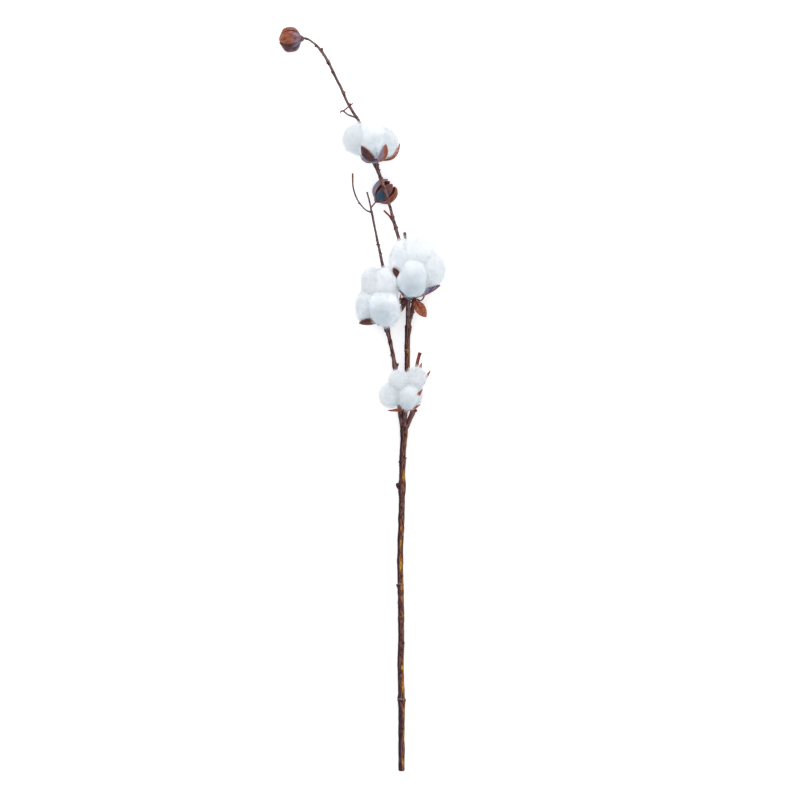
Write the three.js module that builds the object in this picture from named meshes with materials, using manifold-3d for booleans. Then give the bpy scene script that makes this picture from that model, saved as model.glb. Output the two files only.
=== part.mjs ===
// A dried cotton branch, as picked, lying on a table.
// One woody stem forks three times and carries four open bolls, two empty seed cases, a leaf and a bract.
// Each boll is a bur, the split brown case of five pointed valves, that holds five white locks of cotton.
// Millimetres. +Y runs along the stem from its cut end to the tip, +X is to the right seen from above,
// and +Z is up from the table. The origin is under the middle of the branch, on the table.
import * as THREE from "three";
import { mergeVertices } from "three/addons/utils/BufferGeometryUtils.js";
import Module from "manifold-3d";

const wasm = await Module();
wasm.setup();

// Driving dimensions
const branchMiddle = [-39.705, 390.374]; // the middle of the branch, measured from its cut end
const gap = 0.3; // air left between pieces that touch
const trunkSides = 8;
const branchSides = 7;
const twigSides = 5;
const branchRings = 13; // spacing along a branch
const twigRings = 6; // spacing along a twig
const twigRadius = 1.3; // a limb that starts thinner than this is a twig
const barkWave = 0.045; // how far the bark swells and shrinks, as a share of the radius
const barkTurn = 2.3; // how far the swell turns from one ring to the next, in radians
const budForm = [0.8, 1.25, 0.8]; // a bud's width, height and width against its size
const budDepth = 0.85; // where a bud's middle sits, as a share of the limb's radius
const budLean = 0.5; // how far a bud leans along its limb
const valveThickness = 1.3;
const valveCup = 0.42; // how deep a valve is hollowed, as a share of its half width
const seatForm = [1, 0.7, 1]; // a seat's width, height and width against its size
const bladeColumns = 2;
const bladeRows = 5;
const leafThickness = 0.9;
const lockSides = 10;
const lockRings = 7;
const lockWaves = 4; // seeded waves that give a lock its lobes
const lockWaveReach = [3, 5.5]; // the fewest and most radians of wave across a lock's radius
const lockLump = 0.0275; // how far each wave swells a lock, as a share of its radius
const caseWall = 1.1; // wall of an empty seed case
const caseSeat = 3.2; // radius of the seat that its valves grow from
const caseValves = 5;
const caseStart = 0.12; // where a case's valves start, in radians from its base
const caseNarrowing = 0.35; // how late a case's valves narrow toward their ends: near 0 is last of all
const tableBlock = [400, 1600, 40]; // the block that flattens what the table presses on
const growLimit = 0.55; // stops a sharp corner from growing far past its faces

// The wood: each limb is a line of [x, y, z, radius] from where it leaves its parent to its end.
const limbs = {
  trunk: [
    [0, 0, 3.1, 3.1], [-0.5, 32.5, 3.2, 3.15], [-0.5, 74.5, 3.4, 3.35], [-1.6, 116.5, 3.8, 3.2],
    [-0.5, 137.5, 4, 3], [-1, 179.5, 4.5, 3.1], [-2.1, 221.5, 5.1, 2.95], [-0.5, 263.5, 5.7, 3.05],
    [-0.2, 295, 6.3, 3.15], [0.5, 326.5, 7, 3.3], [2, 353, 7.9, 3.7], [3.6, 368.5, 8.5, 3.5],
    [4.4, 379, 8.7, 3], [5, 400, 8.9, 2.9], [5.8, 421, 9, 2.85], [6.1, 447.3, 9, 2.85], [7.1, 468.3, 9, 3],
  ],
  leftBranch: [
    [2, 356, 8, 2.6], [-1.6, 378, 8.6, 2.5], [-3.7, 398, 8.6, 2.3], [-5.8, 417, 8.4, 2.3],
    [-8.9, 435.8, 8, 2.1], [-11.6, 449.4, 7.6, 2.4], [-14.7, 463, 7, 2.6], [-17.3, 478.8, 5.8, 2.2],
    [-18.4, 494.6, 5.2, 1.9], [-18, 510, 5.6, 1.75], [-19, 526, 7, 1.65], [-21.5, 539.7, 8.6, 1.5],
    [-24.7, 554.4, 10.4, 1.4], [-27.8, 569, 12.2, 1.25], [-30, 580.7, 13.6, 1.3], [-31.7, 588, 14.4, 1.2],
  ],
  rightBranch: [
    [7.1, 466, 9, 2.3], [10.5, 482, 8.4, 2.1], [12.3, 492.5, 7.4, 2], [12, 507, 6.6, 1.9],
    [8, 531, 7.2, 1.85], [1.6, 547, 10, 1.8], [-2.6, 557.6, 13, 1.8], [-5.3, 567, 16.5, 1.85],
    [-8.6, 578.6, 22, 1.8], [-12, 591, 27.6, 1.6], [-17.3, 609, 30.6, 1.45], [-20.5, 617.4, 29.4, 1.4],
    [-23, 624.8, 26.8, 1.6],
  ],
  topBranch: [
    [-22.4, 623, 26.4, 1.5], [-26.4, 632, 21, 1.4], [-30, 639.5, 13, 1.35], [-34, 652, 6.2, 1.35],
    [-39.4, 666.8, 4.4, 1.35], [-44, 681, 5.8, 1.45], [-49.4, 688.8, 7.4, 1.6], [-54.6, 698, 8.8, 1.4],
    [-57.2, 702.5, 9.6, 1.25], [-62.5, 715, 11, 1.2], [-68.8, 727.7, 12.4, 1.2], [-75, 740.3, 13.6, 1.2],
    [-80.6, 750.4, 14.6, 1.2], [-86.4, 758, 15.4, 1.1], [-93.4, 764.6, 15.6, 1.05], [-98.6, 767.8, 15, 1],
    [-104, 769, 14.6, 1.15],
  ],
  bollOneStalk: [[-22.4, 623, 26.4, 1.6], [-25, 631, 27, 1.7], [-26.6, 638.5, 27, 1.9]],
  bollTwoStalk: [[7, 464, 9, 2.5], [6.6, 482, 11.6, 2.3], [7.2, 492, 16, 2.4], [7.8, 496.5, 19, 2.4]],
  bollThreeStalk: [[-15.6, 461, 7.6, 2.2], [-17.6, 468, 11, 2.1], [-20, 472.5, 15, 2.2]],
  bollFourStalk: [[3, 361, 8.4, 2.4], [4.4, 370, 12, 2.2], [4.6, 377, 17, 2.2], [4.4, 381, 20, 2.2]],
  forkSpur: [
    [3, 360, 8, 2.6], [8.4, 371, 8.9, 2.3], [12, 378, 9.2, 2.2], [14.2, 393.8, 9.2, 1.8],
    [14.7, 410.6, 9.6, 1.6], [15.5, 424.2, 10.4, 1.75], [19.4, 439.4, 12, 1.9],
  ],
  forkKnob: [[12, 377, 9.2, 1.8], [14.4, 378.2, 10, 1.5], [16.4, 378.6, 10.6, 1.3]],
  hookTwig: [
    [-31.4, 586, 14.2, 0.9], [-37.3, 588.5, 16, 0.8], [-42.5, 593.8, 18.4, 0.8], [-47.3, 601.7, 21, 0.8],
    [-50.4, 611.6, 23.4, 0.85], [-51.3, 626.9, 25.6, 0.95],
  ],
  forkTwig: [
    [-31.5, 586.5, 14.2, 1], [-32.6, 593.3, 15.6, 0.9], [-34.9, 602.7, 18, 0.85], [-36.2, 607.4, 19.4, 0.9],
  ],
  caseTwoStalk: [[-32.2, 590.5, 15, 0.85], [-29, 594.8, 14, 0.75], [-25.6, 598.6, 13.2, 0.9]],
  bentTwig: [[-48.6, 686, 7.2, 1], [-56.7, 689, 10, 0.85], [-62, 692.6, 12, 0.8], [-64.6, 690.9, 12.4, 0.7]],
  crossTwig: [
    [-61.6, 692.2, 12, 0.8], [-58.4, 694.6, 11, 0.7], [-54.6, 697.6, 9, 0.8], [-51, 700.6, 11.8, 0.6],
  ],
  redSpur: [[-8.6, 576, 20.4, 1.2], [-13, 582.2, 23, 1], [-18.6, 587.9, 25, 1]],
  bollTwoSpur: [[6.6, 536, 7.8, 1.4], [4.6, 550, 12, 1.4], [3.3, 565.4, 15, 1.5]],
  curlTwig: [
    [12, 489, 8, 0.9], [16.8, 491.4, 11, 0.7], [21, 491.2, 12.6, 0.65], [23.2, 495, 13, 0.65],
    [24, 498.4, 13.4, 0.65],
  ],
};

// Buds and leaf scars on the wood: [limb, share of its length, turn around it in degrees, size].
const buds = [
  ["trunk", 0.155, 0, 1.5], ["trunk", 0.163, 190, 1.4], ["trunk", 0.285, 20, 1.2], ["trunk", 0.34, 200, 1.1],
  ["trunk", 0.375, 170, 0.9], ["trunk", 0.47, 60, 1], ["trunk", 0.63, 165, 2], ["trunk", 0.655, 185, 1.4],
  ["trunk", 0.69, 180, 1], ["trunk", 0.7, 10, 1], ["trunk", 0.84, 70, 1.2],
  ["leftBranch", 0.295, 0, 2.3], ["leftBranch", 0.34, 200, 1.3], ["leftBranch", 0.4, 150, 1.2],
  ["leftBranch", 0.46, 20, 1.2], ["leftBranch", 0.66, 190, 0.9], ["leftBranch", 0.74, 30, 1],
  ["leftBranch", 0.86, 180, 0.8],
  ["rightBranch", 0.09, 0, 1.5], ["rightBranch", 0.55, 190, 1], ["rightBranch", 0.64, 10, 1.3],
  ["rightBranch", 0.72, 20, 1], ["rightBranch", 0.86, 190, 0.8], ["rightBranch", 0.9, 180, 1],
  ["rightBranch", 0.935, 10, 1.1], ["rightBranch", 0.97, 0, 1.3],
  ["topBranch", 0.3, 10, 1.3], ["topBranch", 0.42, 190, 0.9], ["topBranch", 0.5, 0, 1],
  ["topBranch", 0.66, 200, 0.9], ["topBranch", 0.76, 180, 1.1], ["topBranch", 0.82, 10, 0.9],
  ["topBranch", 0.97, 190, 1],
  ["bollOneStalk", 0.35, 0, 1.2], ["bollOneStalk", 0.75, 20, 1.3],
];

// The open bolls. base is where the stalk enters the bur, heart the middle of the cotton.
// A valve is [tip, width, bulge, roll about its length in degrees].
// A lock is [centre, radii, turn about +Z in degrees].
const bolls = {
  boll_1: {
    base: [-26.8, 639.5, 27],
    heart: [-31.5, 660, 25],
    seat: 4.2,
    valves: [
      [[-42.4, 656.8, 45.5], 15, 0.3, 14],
      [[-17, 658.2, 47], 14, 0.32, -8],
      [[-3, 658.4, 28], 12, 0.31, 0],
      [[-43, 650, 13], 12, 0.26, 0],
      [[-19, 655, 5], 12, 0.26, 0],
    ],
    locks: [
      [[-31, 661, 32], [16.4, 21.8, 15], 4],
      [[-50, 661, 26], [15, 16.4, 15], -20],
      [[-14.6, 658, 26.5], [13.8, 15.6, 14.6], 14],
      [[-43, 662, 16], [14, 16.6, 13.6], 0],
      [[-21, 660, 14.4], [14.4, 17, 15], 0],
    ],
  },
  boll_2: {
    base: [8.2, 497.5, 20],
    heart: [16.5, 527, 27],
    seat: 4.4,
    valves: [
      [[39.6, 510.4, 27], 11.5, 0.12, 35],
      [[-8.6, 528.8, 42], 11, 0.06, 30],
      [[1.4, 504, 4], 10.5, 0.2, 0],
      [[-6, 540, 12], 11, 0.3, 0],
      [[31, 515, 4], 11, 0.24, 0],
    ],
    locks: [
      [[11.6, 516, 37], [15.9, 21, 15], 4],
      [[16, 544, 28], [19.6, 17.4, 17], -12],
      [[-0.6, 538, 28], [13.2, 21, 15.4], -4],
      [[32.6, 524.6, 25.5], [15, 20.4, 16.4], 18],
      [[20, 526, 13.3], [17, 20, 15], 0],
    ],
  },
  boll_3: {
    base: [-20.6, 473.5, 17],
    heart: [-26, 497, 25],
    seat: 4,
    valves: [
      [[-44.6, 470.4, 26], 13, 0.16, -35],
      [[-24, 468.4, 30], 10, 0.1, 0],
      [[-3.4, 499, 17], 11, 0.26, 0],
      [[-46, 492, 5.5], 11, 0.24, 0],
      [[-8, 484, 5], 9, 0.16, 0],
    ],
    locks: [
      [[-17, 486, 33], [16.4, 19.4, 15], 18],
      [[-16.8, 512.6, 29], [13.6, 17, 15], -6],
      [[-37.4, 488.6, 23.5], [12.6, 16.6, 15], -10],
      [[-31, 514, 24], [13, 16.4, 14.6], 8],
      [[-27, 499, 13.4], [16, 20, 14.6], 0],
    ],
  },
  boll_4: {
    base: [4.4, 382, 21],
    heart: [2.6, 402, 28],
    seat: 3.8,
    valves: [
      [[-14.6, 379.4, 27], 9.5, 0.08, 30],
      [[18.8, 386, 40], 8, 0.12, 0],
      [[20.4, 401.6, 40], 7.5, 0.2, 0],
      [[30.6, 421, 19], 6.5, -0.02, 0],
      [[20.8, 428, 17], 6.5, 0.04, 0],
    ],
    locks: [
      [[8.2, 392, 34], [11.8, 13.6, 12], 0],
      [[-3, 410.6, 31], [11.4, 11.2, 12], 10],
      [[16, 413.4, 29], [11.2, 11.8, 12], -8],
      [[-13.2, 394, 27.5], [12.2, 14, 12.6], 12],
      [[12.6, 398.6, 24], [11.8, 15, 12], 0],
    ],
  },
};

// The dried leaf and the forked bract under boll 2. A blade is written as a valve is.
const leaves = {
  boll_2_leaf: { root: [13.2, 494.6, 13], heart: [19, 484, -20], blades: [[[26, 476.2, 13], 13.5, 0.08, 0]] },
  boll_2_bract: {
    root: [6, 497.4, 14.6],
    heart: [-2, 492, -10],
    blades: [[[-3.6, 490, 15.5], 7.4, 0.1, 20], [[-2.6, 479.4, 12], 5.4, 0.1, 20]],
  },
};

// The empty seed cases. Five valves stand round a bare hollow and part at their tips by open degrees.
// length is a case's length against its width, and slit the share of the way round that its walls cover.
// end is where the valves end, in radians from the base, taper narrows the half next to the stalk, and
// point is the share of its full width that a valve keeps at its ends.
const seedCases = {
  empty_case_top: {
    base: [-104.4, 768.8, 14.6],
    middle: [-116.4, 767.8, 14.2],
    radius: 13,
    length: 0.92,
    open: 0,
    turn: 5,
    slit: 0.975,
    end: 3,
    taper: 1.35,
    point: 0.85,
  },
  empty_case_side: {
    base: [-26, 598.6, 13.8],
    middle: [-16.6, 608.6, 14.2],
    radius: 12.7,
    length: 1.06,
    open: 5,
    turn: 20,
    slit: 0.95,
    end: 2.75,
    taper: 1.25,
    point: 0.15,
  },
};

const colours = {
  bark: { color: 0x54382c, roughness: 0.78, metalness: 0 },
  valve: { color: 0x8a4a34, roughness: 0.55, metalness: 0 },
  leaf: { color: 0xa8603c, roughness: 0.6, metalness: 0 },
  cotton: { color: 0xf4f6f8, roughness: 1, metalness: 0 },
};

// A seeded random draw, the same on every run
function seededDraw(seed) {
  let state = seed;
  return () => {
    state = (state + 0x6d2b79f5) | 0;
    let mixed = Math.imul(state ^ (state >>> 15), 1 | state);
    mixed = (mixed + Math.imul(mixed ^ (mixed >>> 7), 61 | mixed)) ^ mixed;
    return ((mixed ^ (mixed >>> 14)) >>> 0) / 4294967296;
  };
}

// Moves every vertex outwards, so that each face of an indexed geometry lands grow further out
function growOut(geometry, grow) {
  const { position } = geometry.attributes;
  const corners = geometry.index.array;
  const facing = Array.from({ length: position.count }, () => new THREE.Vector3());
  const around = Array.from({ length: position.count }, () => []);
  const triangle = new THREE.Triangle();
  for (let i = 0; i < corners.length; i += 3) {
    triangle.setFromAttributeAndIndices(position, corners[i], corners[i + 1], corners[i + 2]);
    const normal = triangle.getNormal(new THREE.Vector3());
    const points = [triangle.a, triangle.b, triangle.c];
    points.forEach((point, k) => {
      const toNext = points[(k + 1) % 3].clone().sub(point);
      const toLast = points[(k + 2) % 3].clone().sub(point);
      facing[corners[i + k]].addScaledVector(normal, toNext.angleTo(toLast));
      around[corners[i + k]].push(normal);
    });
  }
  facing.forEach((direction, i) => {
    direction.normalize();
    const steepest = Math.min(...around[i].map((normal) => normal.dot(direction)));
    const reach = grow / Math.max(steepest, growLimit);
    const vertex = new THREE.Vector3().fromBufferAttribute(position, i).addScaledVector(direction, reach);
    position.setXYZ(i, vertex.x, vertex.y, vertex.z);
  });
}

// A closed geometry as a solid, grown by a distance on every side
function solidOf(geometry, grow = 0) {
  geometry.deleteAttribute("normal");
  geometry.deleteAttribute("uv");
  const merged = mergeVertices(geometry, 1e-4);
  if (grow > 0) growOut(merged, grow);
  const mesh = new wasm.Mesh({
    numProp: 3,
    vertProperties: new Float32Array(merged.attributes.position.array),
    triVerts: new Uint32Array(merged.index.array),
  });
  return new wasm.Manifold(mesh);
}

// The largest body of a solid, without the scraps that a cut leaves
function largestOf(solid) {
  const bodies = solid.decompose();
  return bodies.reduce((best, body) => (body.volume() > best.volume() ? body : best));
}

// Every vertex of a geometry moved by place(vertex)
function shaped(geometry, place) {
  const position = geometry.getAttribute("position");
  const vertex = new THREE.Vector3();
  for (let i = 0; i < position.count; i++) {
    vertex.fromBufferAttribute(position, i);
    const moved = place(vertex);
    position.setXYZ(i, moved.x, moved.y, moved.z);
  }
  return geometry;
}

// The turn that stands +Y along a direction
function standAlong(direction) {
  return new THREE.Quaternion().setFromUnitVectors(new THREE.Vector3(0, 1, 0), direction);
}

// Wood

// How many sides a limb has, and how far apart its rings are
function limbFineness(name) {
  if (name === "trunk") return { sides: trunkSides, spacing: branchRings };
  const isTwig = limbs[name][0][3] < twigRadius;
  return isTwig ? { sides: twigSides, spacing: twigRings } : { sides: branchSides, spacing: branchRings };
}

// The line, frames and radius of a limb
function limbLine(name) {
  const points = limbs[name];
  const places = points.map(([x, y, z]) => new THREE.Vector3(x, y, z));
  const curve = new THREE.CatmullRomCurve3(places, false, "centripetal");
  const rings = Math.max(3, Math.round(curve.getLength() / limbFineness(name).spacing));
  const frames = curve.computeFrenetFrames(rings);
  const radiusAt = (share) => {
    const along = curve.getUtoTmapping(share) * (points.length - 1);
    const before = Math.min(Math.floor(along), points.length - 2);
    return THREE.MathUtils.lerp(points[before][3], points[before + 1][3], along - before);
  };
  return { curve, rings, frames, radiusAt };
}

// A limb: a cylinder bent along its line, whose radius swells and shrinks like bark
function limbSolid(name, grow) {
  const { curve, rings, frames, radiusAt } = limbLine(name);
  const rod = new THREE.CylinderGeometry(1, 1, 1, limbFineness(name).sides, rings);
  shaped(rod, ({ x, y, z }) => {
    const share = y + 0.5;
    const ring = Math.round(share * rings);
    const normal = frames.normals[ring];
    const across = new THREE.Vector3().crossVectors(normal, frames.tangents[ring]);
    const wave = 1 + barkWave * Math.sin(barkTurn * ring + 2 * Math.atan2(z, x));
    const radius = radiusAt(share) * wave;
    return curve.getPointAt(share).addScaledVector(normal, x * radius).addScaledVector(across, z * radius);
  });
  return solidOf(rod, grow);
}

// A bud: a squashed ball half sunk in the bark, leaning along its limb
function budSolid([limb, share, turn, size], grow) {
  const { curve, radiusAt } = limbLine(limb);
  const along = curve.getTangentAt(share);
  const angle = THREE.MathUtils.degToRad(turn);
  const sideways = new THREE.Vector3(Math.cos(angle), 0, Math.sin(angle)).projectOnPlane(along).normalize();
  const seat = curve.getPointAt(share).addScaledVector(sideways, radiusAt(share) * budDepth);
  const stand = standAlong(along.multiplyScalar(budLean).add(sideways).normalize());
  const ball = new THREE.SphereGeometry(size, 4, 3);
  const form = new THREE.Vector3(...budForm);
  shaped(ball, (vertex) => vertex.clone().multiply(form).applyQuaternion(stand).add(seat));
  return solidOf(ball, grow);
}

function woodSolid(grow) {
  const pieces = [
    ...Object.keys(limbs).map((name) => limbSolid(name, grow)),
    ...buds.map((bud) => budSolid(bud, grow)),
  ];
  return pieces.reduce((wood, piece) => wood.add(piece));
}

// Burs, leaves and seed cases

// A blade: a thin board placed by surface(share along, side -1 to 1, height off the middle)
function bladeSolid(surface, thickness, grow) {
  const board = new THREE.BoxGeometry(2, 1, thickness, bladeColumns, bladeRows, 1);
  shaped(board, ({ x, y, z }) => surface(y + 0.5, x, z));
  return solidOf(board, grow);
}

// How wide a valve is along its length: it swells fast from a narrow root and tapers to a point at the tip
function valveOutline(share) {
  return Math.max(0.08, Math.min(1, 1.75 * Math.pow(share + 0.03, 0.7) * Math.pow(1 - share, 0.62)));
}

// A pointed boat from its root to its tip, bulging away from the heart by a share of its length
function boatSolid({ root, heart, tip, width, bulge, roll, thickness }, grow) {
  const chord = tip.clone().sub(root);
  const middle = root.clone().addScaledVector(chord, 0.5);
  const outward = middle.clone().sub(heart).projectOnPlane(chord).normalize();
  outward.applyAxisAngle(chord.clone().normalize(), THREE.MathUtils.degToRad(roll));
  const elbow = middle.addScaledVector(outward, 2 * bulge * chord.length());
  const line = new THREE.QuadraticBezierCurve3(root, elbow, tip);
  return bladeSolid((share, side, height) => {
    const tangent = line.getTangent(share);
    const across = new THREE.Vector3().crossVectors(tangent, outward).normalize();
    const off = new THREE.Vector3().crossVectors(across, tangent).normalize();
    const halfWidth = (width / 2) * valveOutline(share);
    const cup = -valveCup * halfWidth * side * side;
    return line.getPoint(share).addScaledVector(across, side * halfWidth).addScaledVector(off, cup + height);
  }, thickness, grow);
}

// The round seat that the valves of one bur grow from
function seatSolid(base, away, size, grow) {
  const stand = standAlong(away);
  const ball = new THREE.SphereGeometry(size, 7, 4);
  const form = new THREE.Vector3(...seatForm);
  shaped(ball, (vertex) => vertex.clone().multiply(form).applyQuaternion(stand).add(base));
  return solidOf(ball, grow);
}

function burSolid(boll, grow) {
  const root = new THREE.Vector3(...boll.base);
  const heart = new THREE.Vector3(...boll.heart);
  const seat = seatSolid(root, heart.clone().sub(root).normalize(), boll.seat, grow);
  const valves = boll.valves.map(([tip, width, bulge, roll]) => boatSolid(
    { root, heart, tip: new THREE.Vector3(...tip), width, bulge, roll, thickness: valveThickness }, grow,
  ));
  return valves.reduce((bur, valve) => bur.add(valve), seat);
}

// A dried leaf or bract: thin blades that share one root
function leafSolid({ root, heart, blades }, grow) {
  const solids = blades.map(([tip, width, bulge, roll]) => boatSolid({
    root: new THREE.Vector3(...root),
    heart: new THREE.Vector3(...heart),
    tip: new THREE.Vector3(...tip),
    width,
    bulge,
    roll,
    thickness: leafThickness,
  }, grow));
  return solids.reduce((leaf, blade) => leaf.add(blade));
}

// An empty case: valves that are strips of a ball, each swung open about the base
function caseSolid({ base, middle, radius, length, open, turn, slit, end, taper, point }, grow) {
  const root = new THREE.Vector3(...base);
  const away = new THREE.Vector3(...middle).sub(root).normalize();
  const stand = standAlong(away);
  const swing = THREE.MathUtils.degToRad(open);
  let solid = seatSolid(root, away, caseSeat, grow);
  for (let i = 0; i < caseValves; i++) {
    const heading = THREE.MathUtils.degToRad(turn + (360 / caseValves) * i);
    const hinge = new THREE.Vector3(Math.sin(heading), 0, -Math.cos(heading));
    const valve = bladeSolid((share, side, height) => {
      const polar = THREE.MathUtils.lerp(caseStart, end, share);
      const reach = Math.pow(Math.sin(polar), polar < Math.PI / 2 ? taper : 1);
      // a strip keeps its full width for most of its length and narrows toward both ends
      const swell = Math.pow(Math.sin(Math.PI * share), caseNarrowing);
      const outline = THREE.MathUtils.lerp(point, 1, swell);
      const halfTurn = (Math.PI / caseValves) * slit * outline;
      const around = heading - side * halfTurn;
      const spot = new THREE.Vector3(
        reach * Math.cos(around),
        -Math.cos(polar) * length,
        reach * Math.sin(around),
      ).multiplyScalar(radius + height);
      spot.y += radius * length;
      return spot.applyAxisAngle(hinge, -swing).applyQuaternion(stand).add(root);
    }, caseWall, grow);
    solid = solid.add(valve);
  }
  return solid;
}

// Cotton

// One lock: a ball pulled out to its radii, with soft lobes from a few seeded waves
function lockSolid([centre, radii, turn], seed, grow) {
  const draw = seededDraw(seed);
  const waves = Array.from({ length: lockWaves }, () => {
    const heading = new THREE.Vector3(draw() - 0.5, draw() - 0.5, draw() - 0.5).normalize();
    const reach = THREE.MathUtils.lerp(lockWaveReach[0], lockWaveReach[1], draw());
    return { heading: heading.multiplyScalar(reach), start: 2 * Math.PI * draw() };
  });
  const spin = THREE.MathUtils.degToRad(turn);
  const ball = new THREE.SphereGeometry(1, lockSides, lockRings);
  shaped(ball, (direction) => {
    const swells = waves.map(({ heading, start }) => Math.sin(heading.dot(direction) + start));
    const lobes = swells.reduce((sum, swell) => sum + swell);
    return direction.clone()
      .multiply(new THREE.Vector3(...radii))
      .multiplyScalar(1 + lockLump * lobes)
      .applyAxisAngle(new THREE.Vector3(0, 0, 1), spin)
      .add(new THREE.Vector3(...centre));
  });
  return solidOf(ball, grow);
}

// Assembly

const branch = new THREE.Group();
branch.position.set(-branchMiddle[0], -branchMiddle[1], 0);
const placed = []; // the grown form of each piece so far, which later pieces are cut clear of

function boxesMeet(a, b) {
  const boxA = a.boundingBox();
  const boxB = b.boundingBox();
  return [0, 1, 2].every((i) => boxA.min[i] <= boxB.max[i] && boxB.min[i] <= boxA.max[i]);
}

const table = new THREE.BoxGeometry(...tableBlock).translate(0, branchMiddle[1], -tableBlock[2] / 2);
const tableSolid = solidOf(table);

// Adds a piece, cut flat by the table and clear of everything placed before it
function place(name, build, colour) {
  let solid = build(0).subtract(tableSolid);
  for (const other of placed) {
    if (boxesMeet(solid, other)) solid = solid.subtract(other);
  }
  solid = largestOf(solid);
  placed.push(build(gap));
  const { vertProperties, triVerts } = solid.getMesh();
  const geometry = new THREE.BufferGeometry();
  geometry.setAttribute("position", new THREE.BufferAttribute(vertProperties, 3));
  geometry.setIndex(new THREE.BufferAttribute(triVerts, 1));
  geometry.computeVertexNormals();
  const mesh = new THREE.Mesh(geometry, new THREE.MeshStandardMaterial(colour));
  mesh.name = name;
  branch.add(mesh);
}

place("stem", woodSolid, colours.bark);
for (const [name, leaf] of Object.entries(leaves)) {
  place(name, (grow) => leafSolid(leaf, grow), colours.leaf);
}
for (const [name, seedCase] of Object.entries(seedCases)) {
  place(name, (grow) => caseSolid(seedCase, grow), colours.valve);
}
for (const [name, boll] of Object.entries(bolls)) {
  place(`${name}_bur`, (grow) => burSolid(boll, grow), colours.valve);
}
Object.entries(bolls).forEach(([name, { locks }], bollIndex) => {
  locks.forEach((lock, lockIndex) => {
    const seed = 100 * (bollIndex + 1) + lockIndex;
    place(`${name}_lock_${lockIndex + 1}`, (grow) => lockSolid(lock, seed, grow), colours.cotton);
  });
});

export default branch;
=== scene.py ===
# A dried cotton branch lying on a table: a forked woody stem, four open bolls of cotton,
# two empty seed cases, a leaf and a bract.
import math
import bpy
import numpy as np
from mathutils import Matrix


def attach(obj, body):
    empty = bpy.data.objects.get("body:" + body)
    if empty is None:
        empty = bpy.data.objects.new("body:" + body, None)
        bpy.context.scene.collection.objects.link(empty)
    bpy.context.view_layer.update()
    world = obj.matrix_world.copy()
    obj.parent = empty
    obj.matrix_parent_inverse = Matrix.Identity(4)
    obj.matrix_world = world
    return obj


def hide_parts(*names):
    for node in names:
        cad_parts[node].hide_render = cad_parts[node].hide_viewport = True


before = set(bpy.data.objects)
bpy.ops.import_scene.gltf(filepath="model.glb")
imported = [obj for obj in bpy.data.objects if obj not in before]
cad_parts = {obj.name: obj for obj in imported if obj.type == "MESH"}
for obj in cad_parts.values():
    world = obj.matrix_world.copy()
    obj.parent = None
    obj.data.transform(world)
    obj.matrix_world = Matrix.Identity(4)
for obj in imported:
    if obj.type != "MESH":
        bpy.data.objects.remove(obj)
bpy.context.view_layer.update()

# Shapes are worked out in millimetres from the cut end of the stem, as the solids are, and moved last.
branchMiddle = np.array([-39.705, 390.374, 0.0])
metresPerMm = 0.001
lowest = 0.02  # every piece but the cotton stays this far over the table


# Grids of points

# A point for each place of a grid, from three grids, rows, columns or single numbers
def gridOf(x, y, z):
    return np.stack(np.broadcast_arrays(x, y, z), axis=-1)


def circleOf(count):
    return np.linspace(0, 2 * np.pi, count, endpoint=False)


# Directions round a line from two across it: one by the cosine of each angle, the other by its sine
def allRound(side, deep, angle):
    return side[..., None, :] * np.cos(angle)[:, None] + deep[..., None, :] * np.sin(angle)[:, None]


# A sine or cosine, nearer to a square wave the smaller its power is
def blunt(wave, power):
    return np.sign(wave) * np.abs(wave) ** power


def bell(distance, reach):
    return np.exp(-((distance / reach) ** 2))


def held(value):
    return np.clip(value, 0, 1)


def eased(share):
    return share * share * (3 - 2 * share)


# From low to high by a share of the way
def mixed(low, high, share):
    return low + (high - low) * share


def sizeOf(vectors):
    return np.linalg.norm(vectors, axis=-1)


def unit(vectors):
    return vectors / np.maximum(sizeOf(vectors)[..., None], 1e-9)


# Tubes of alike rows and columns: rings is (tubes, rows, columns, 3), values (tubes, rows, columns). A point
# in the middle of its first and last row closes each, or its two tips where they are given.
def closedTubes(rings, values, straight=None, tips=None):
    tubes, rows, columns, _ = rings.shape
    each = rows * columns + 2

    def withEnds(array):
        flat = array.reshape(tubes, rows * columns, -1)
        ends = array[:, [0, -1]].reshape(tubes, 2, columns, -1).mean(axis=2)
        return np.concatenate([flat, ends], axis=1)

    points = withEnds(rings)
    if tips is not None:
        points[:, -2:] = tips
    grid = np.arange(rows * columns).reshape(rows, columns)
    beside = np.roll(grid, -1, axis=1)
    quads = np.stack([grid[:-1], beside[:-1], beside[1:], grid[1:]], axis=-1).reshape(-1, 4)
    startCap = np.stack([beside[0], grid[0], np.full(columns, each - 2)], axis=-1)
    endCap = np.stack([grid[-1], beside[-1], np.full(columns, each - 1)], axis=-1)
    caps = np.concatenate([startCap, endCap])
    if enclosed(points[0], quads, caps) < 0:
        quads = quads[:, ::-1]
        caps = caps[:, ::-1]
    offset = (np.arange(tubes) * each)[:, None, None]
    return {
        "points": points.reshape(-1, 3),
        "quads": (quads[None] + offset).reshape(-1, 4),
        "caps": (caps[None] + offset).reshape(-1, 3),
        "values": {key: withEnds(value).reshape(-1) for key, value in values.items()},
        "straight": withEnds(rings if straight is None else straight).reshape(-1, 3),
    }


# One tube, kept off the table. A value is a grid, a row, a column or a single number.
def closedTube(rings, values, straight=None):
    rings[..., 2] = np.maximum(rings[..., 2], lowest)
    values = {key: np.broadcast_to(value, rings.shape[:2])[None] for key, value in values.items()}
    return closedTubes(rings[None], values, None if straight is None else straight[None])


# The volume inside a closed surface, from its faces' corners: negative if its faces look inwards
def enclosed(points, quads, caps):
    triangles = np.concatenate([quads[:, [0, 1, 2]], quads[:, [0, 2, 3]], caps])
    a, b, c = (points[triangles[:, i]] for i in range(3))
    return float(np.einsum("ij,ij->", a, np.cross(b, c))) / 6


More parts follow.
